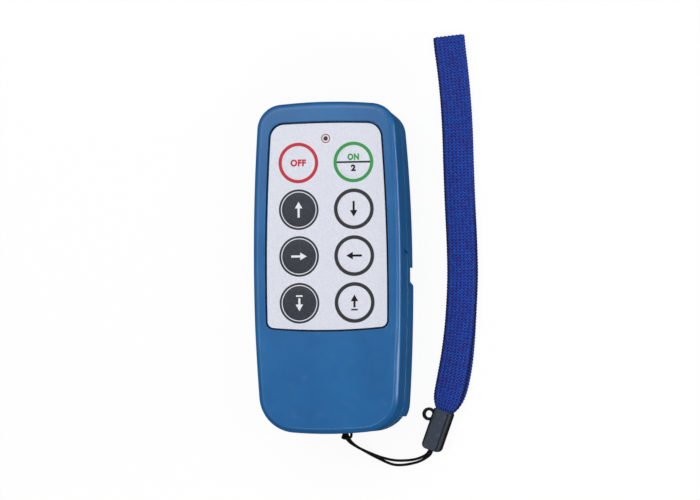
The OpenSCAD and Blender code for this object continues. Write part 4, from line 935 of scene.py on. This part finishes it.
def slate_plastic(place):
    """Slate plastic, lighter along the middle as a painted sheen of its crowned top and darker at the
    sides as painted shade; scuffs vary the sheen and the roughness.
    """
    x, y = place.parts()[:2]
    off_middle = ((x / MM - CLAMP_AT[0]) * cos(CLAMP_TURN) - (y / MM - CLAMP_AT[1]) * sin(CLAMP_TURN))
    grain = noise(place, 4.0)
    scuffs_and_sheen = noise(place, 0.5, 4.0).step(0.5, 0.75)
    # Painted sheen: the crowned middle is lighter and the sides darker
    painted_sheen = (1 - off_middle.math("ABSOLUTE").step(2.2, 4.2)) * (0.75 + 0.35 * scuffs_and_sheen)
    return {"Base Color": painted_sheen.mix(colour(6, 8, 11), colour(66, 75, 88)),
            "Roughness": 0.3 + 0.14 * scuffs_and_sheen + 0.06 * grain, "height": 0.012 * grain}


clamp_finish = finish("slate_plastic", slate_plastic, Specular_IOR_Level=0.3)
clamp_place = Matrix.Translation(CLAMP_AT.to_3d() * MM) @ Matrix.Rotation(-CLAMP_TURN, 4, "Z")
for obj, node in ((clamp, "clamp_body"), (lid, "clamp_cover")):
    obj.data.transform(clamp_place)
    dress([obj], clamp_finish)
    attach(obj, "case")
    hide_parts(node)


# --- Inner pieces ---
# The circuit board and what it carries, the cells with their contacts, and the fixings. They keep
# their own shapes and get their own finishes. LANE is the pitch of the board's copper lanes.
LANE = 1.2


def two_tone(dark, light, waves, rough, relief):
    """A look of two colours in a cloudy grain, with that many waves in a millimetre."""
    def look(place):
        grain = noise(place, waves, 3.0)
        return {"Base Color": grain.step(0.3, 0.7).mix(colour(*dark), colour(*light)),
                "Roughness": rough + 0.15 * grain, "height": relief * grain}
    return look


def board_look(place):
    lanes = (place.parts()[0] * (pi / LANE / MM)).math("SINE").math("ABSOLUTE").step(0.9, 0.97)
    blocks = noise(place, 0.18, 0.0).step(0.5, 0.52)
    return {"Base Color": (lanes * blocks).mix(colour(24, 92, 52), colour(52, 128, 74)),
            "Roughness": 0.35 + 0.15 * noise(place, 1.0), "height": 0.03 * lanes * blocks}


steel = finish("bright_steel", two_tone((150, 152, 156), (190, 192, 196), 1.5, 0.22, 0.004),
               Metallic=1.0)
can = finish("tinned_can", two_tone((165, 167, 170), (196, 198, 200), 0.8, 0.28, 0.006),
             Metallic=1.0)
black_resin = finish("black_resin", two_tone((22, 23, 25), (36, 37, 40), 3.0, 0.5, 0.01))
rubber = finish("black_rubber", two_tone((14, 14, 15), (26, 26, 28), 2.0, 0.7, 0.02))
white_resin = finish("white_resin", two_tone((206, 209, 214), (222, 225, 229), 0.8, 0.4, 0.006))
inner_finishes = {
    "case_seal": rubber, "case_screws": steel, "board_screws": steel, "lanyard_pin": steel,
    "circuit_board": finish("green_board", board_look), "switch_housings": black_resin,
    "radio_module": can, "crystal": can, "microcontroller": black_resin, "memory_chip": black_resin,
    "capacitors": finish("blue_sleeve", two_tone((30, 44, 78), (42, 60, 98), 0.6, 0.25, 0.004)),
    "status_diode": finish("red_resin", two_tone((150, 24, 22), (186, 40, 32), 1.0, 0.15, 0.002)),
    "battery_plates": steel,
    "indicator_lens": finish("dark_lens", two_tone((24, 32, 38), (36, 46, 54), 2.0, 0.2, 0.002))}
for key in KEYS:
    inner_finishes[key + "_plunger"] = white_resin
    inner_finishes[key + "_switch_stem"] = black_resin
for name, material in inner_finishes.items():
    dress([nodes[name]], material)


# --- Cells, springs and antenna ---
# Two jacketed AA cells lie side by side, one each way round, each between a contact plate and a
# conical spring of steel wire. The antenna is a coil of brass wire, soldered under the board.
CELL_EDGE, BUTTON_R, BUTTON_L, BUTTON_ROUND, CELL_MID_Y, BAND_FROM = 0.8, 2.75, 1.3, 0.2, -31.4, 17
SPRING_R, SPRING_END_R, SPRING_L, SPRING_WIRE, SPRING_TURNS, PLATE_T = 3.8, 2.6, 2.2, 0.5, 2, 0.4
COIL_R, COIL_WIRE, COIL_TURNS, COIL_PITCH = 2.2, 0.8, 8, 1.7
COIL_Y, COIL_Z, BOARD_UNDER, TURN_STEPS = 50, 16.4, 19.4, 16


def jacket(place):
    y = place.parts()[1] / MM
    grain = noise(place, 0.8, 3.0)
    band = (y - CELL_MID_Y).math("ABSOLUTE").step(BAND_FROM, BAND_FROM + 0.3)
    body = grain.step(0.3, 0.7).mix(colour(40, 50, 62), colour(56, 68, 84))
    return {"Base Color": band.mix(body, colour(168, 120, 62)), "Roughness": 0.25 + 0.15 * grain,
            "height": 0.004 * grain}


jacket_finish = finish("cell_jacket", jacket, Metallic=0.3)
cell_profile = [(CELL_R - CELL_EDGE * s, CELL_EDGE * c) for s, c in quarter(6)]
cell_profile += [(r, CELL_L - BUTTON_L - z) for r, z in reversed(cell_profile)]
cell_profile += [(BUTTON_R + BUTTON_ROUND, CELL_L - BUTTON_L),
                 (BUTTON_R, CELL_L - BUTTON_L + BUTTON_ROUND),
                 (BUTTON_R, CELL_L - BUTTON_ROUND), (BUTTON_R - BUTTON_ROUND, CELL_L)]
for name, x, y, way in (("battery_1", -CELL_X, BAY_Y1 - PLATE_T - CELL_L, 1),
                        ("battery_2", CELL_X, BAY_Y0 + PLATE_T + CELL_L, -1)):
    cell = piece("aa_" + name, lathe(None, cell_profile, (x, y, CELL_Z), 64,
                                     Matrix.Rotation(-way * pi / 2, 3, "X")))
    dress([cell], jacket_finish)
    cell.data.materials.append(steel)
    for face in cell.data.polygons:
        out = Vector((face.center.x / MM - x, face.center.z / MM - CELL_Z)).length
        face.material_index = int(out < CELL_R - CELL_EDGE - 0.1)
    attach(cell, "case")
    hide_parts(name)
for name, x, y, way in (("lower_spring", -CELL_X, BAY_Y0 + PLATE_T, 1),
                        ("upper_spring", CELL_X, BAY_Y1 - PLATE_T, -1)):
    turns = []
    for i in range(TURN_STEPS * SPRING_TURNS + 1):
        a, t = 2 * pi * i / TURN_STEPS, i / (TURN_STEPS * SPRING_TURNS)
        r = SPRING_R + (SPRING_END_R - SPRING_R) * t
        turns.append((x + r * cos(a), y + way * (SPRING_WIRE / 2 + (SPRING_L - SPRING_WIRE) * t),
                      CELL_Z + r * sin(a)))
    spring = tube(name, turns, SPRING_WIRE / 2)
    spring.data.materials.append(steel)
    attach(spring, "case")
    if way > 0:
        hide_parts("battery_springs")
coil_l = COIL_TURNS * COIL_PITCH
foot = [(coil_l / 2 + COIL_WIRE, COIL_Y, COIL_Z - COIL_R),
        (coil_l / 2 + 2 * COIL_WIRE, COIL_Y - 2 * COIL_WIRE, COIL_Z),
        (coil_l / 2 + 2 * COIL_WIRE, COIL_Y - 2 * COIL_WIRE, BOARD_UNDER)]
helix = [(coil_l * (i / (TURN_STEPS * COIL_TURNS) - 0.5),
          COIL_Y + COIL_R * sin(2 * pi * i / TURN_STEPS),
          COIL_Z - COIL_R * cos(2 * pi * i / TURN_STEPS)) for i in range(TURN_STEPS * COIL_TURNS + 1)]
coil = tube("brass_antenna", [(-x, y, z) for x, y, z in reversed(foot)] + helix + foot, COIL_WIRE / 2)
brass = finish("brass_wire", two_tone((170, 128, 60), (205, 162, 84), 1.5, 0.25, 0.004),
               Metallic=1.0)
coil.data.materials.append(brass)
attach(coil, "case")
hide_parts("antenna_coil")


# --- Table and light ---
# A pale table under soft studio light. The camera sees the table nearly white, and the glossy
# sides of the part mirror it darker. Six area lamps and a bright band of sky light the part.
floor_mesh = bmesh.new()
bmesh.ops.create_grid(floor_mesh, x_segments=1, y_segments=1, size=3)
floor = piece("table", floor_mesh, 1)
floor.location.z = -0.2 * MM


def pale(place):
    """Bright where the camera sees the table itself, and darker in what mirrors it."""
    direct, glossy = (place.node("LightPath", (), (), out)
                      for out in ("Is Camera Ray", "Is Glossy Ray"))
    return {"Base Color": 0.4 + 0.57 * direct - 0.36 * glossy}


dress([floor], finish("pale_table", pale, Roughness=0.9))
tree = floor.active_material.node_tree
glow = Wire(tree).node("Emission", (), {"Color": (1, 1, 1, 1), "Strength": 1.0})
shown = glow.node("MixShader", (), {0: 0.92 * glow.node("LightPath"), 2: glow,
                                    1: Wire(tree, tree.nodes["Principled BSDF"].outputs[0])})
tree.links.new(shown.socket, tree.nodes["Material Output"].inputs["Surface"])
world = bpy.data.worlds.new("studio")
world.use_nodes = True
sky = world.node_tree.nodes["Background"]
height = Wire(world.node_tree).node("TexCoord", (), (), 0).parts()[2]
band = height.step(0.2, 0.6) - 0.8 * height.step(0.86, 0.97)
world.node_tree.links.new((0.12 + 0.5 * band).socket, sky.inputs["Strength"])
sky.inputs["Color"].default_value = (1, 1, 1, 1)
scene.world = world
# Each lamp's place, width and depth in metres, and its power in watts
LAMPS = {"top_lamp": ((-0.1, 0.19, 0.46), 0.3, 0.18, 0.5),
         "near_lamp": ((0.05, -0.62, 0.74), 0.6, 0.12, 1.3),
         "far_lamp": ((-0.05, 0.62, 0.7), 0.6, 0.06, 0.7),
         "left_lamp": ((-0.65, 0.05, 0.9), 0.8, 0.06, 1.2),
         "right_lamp": ((0.3, -0.08, 0.5), 0.2, 0.06, 0.35),
         "edge_lamp": ((0.9, 0, 0.1), 0.4, 0.1, 2.8)}
for name, (place, wide, deep, energy) in LAMPS.items():
    lamp_data = bpy.data.lights.new(name, "AREA")
    lamp_data.shape, lamp_data.size, lamp_data.size_y = "RECTANGLE", wide, deep
    lamp_data.energy = energy
    lamp = bpy.data.objects.new(name, lamp_data)
    lamp.location = place
    lamp.rotation_euler = Vector(place).to_track_quat("Z", "Y").to_euler()
    scene.collection.objects.link(lamp)
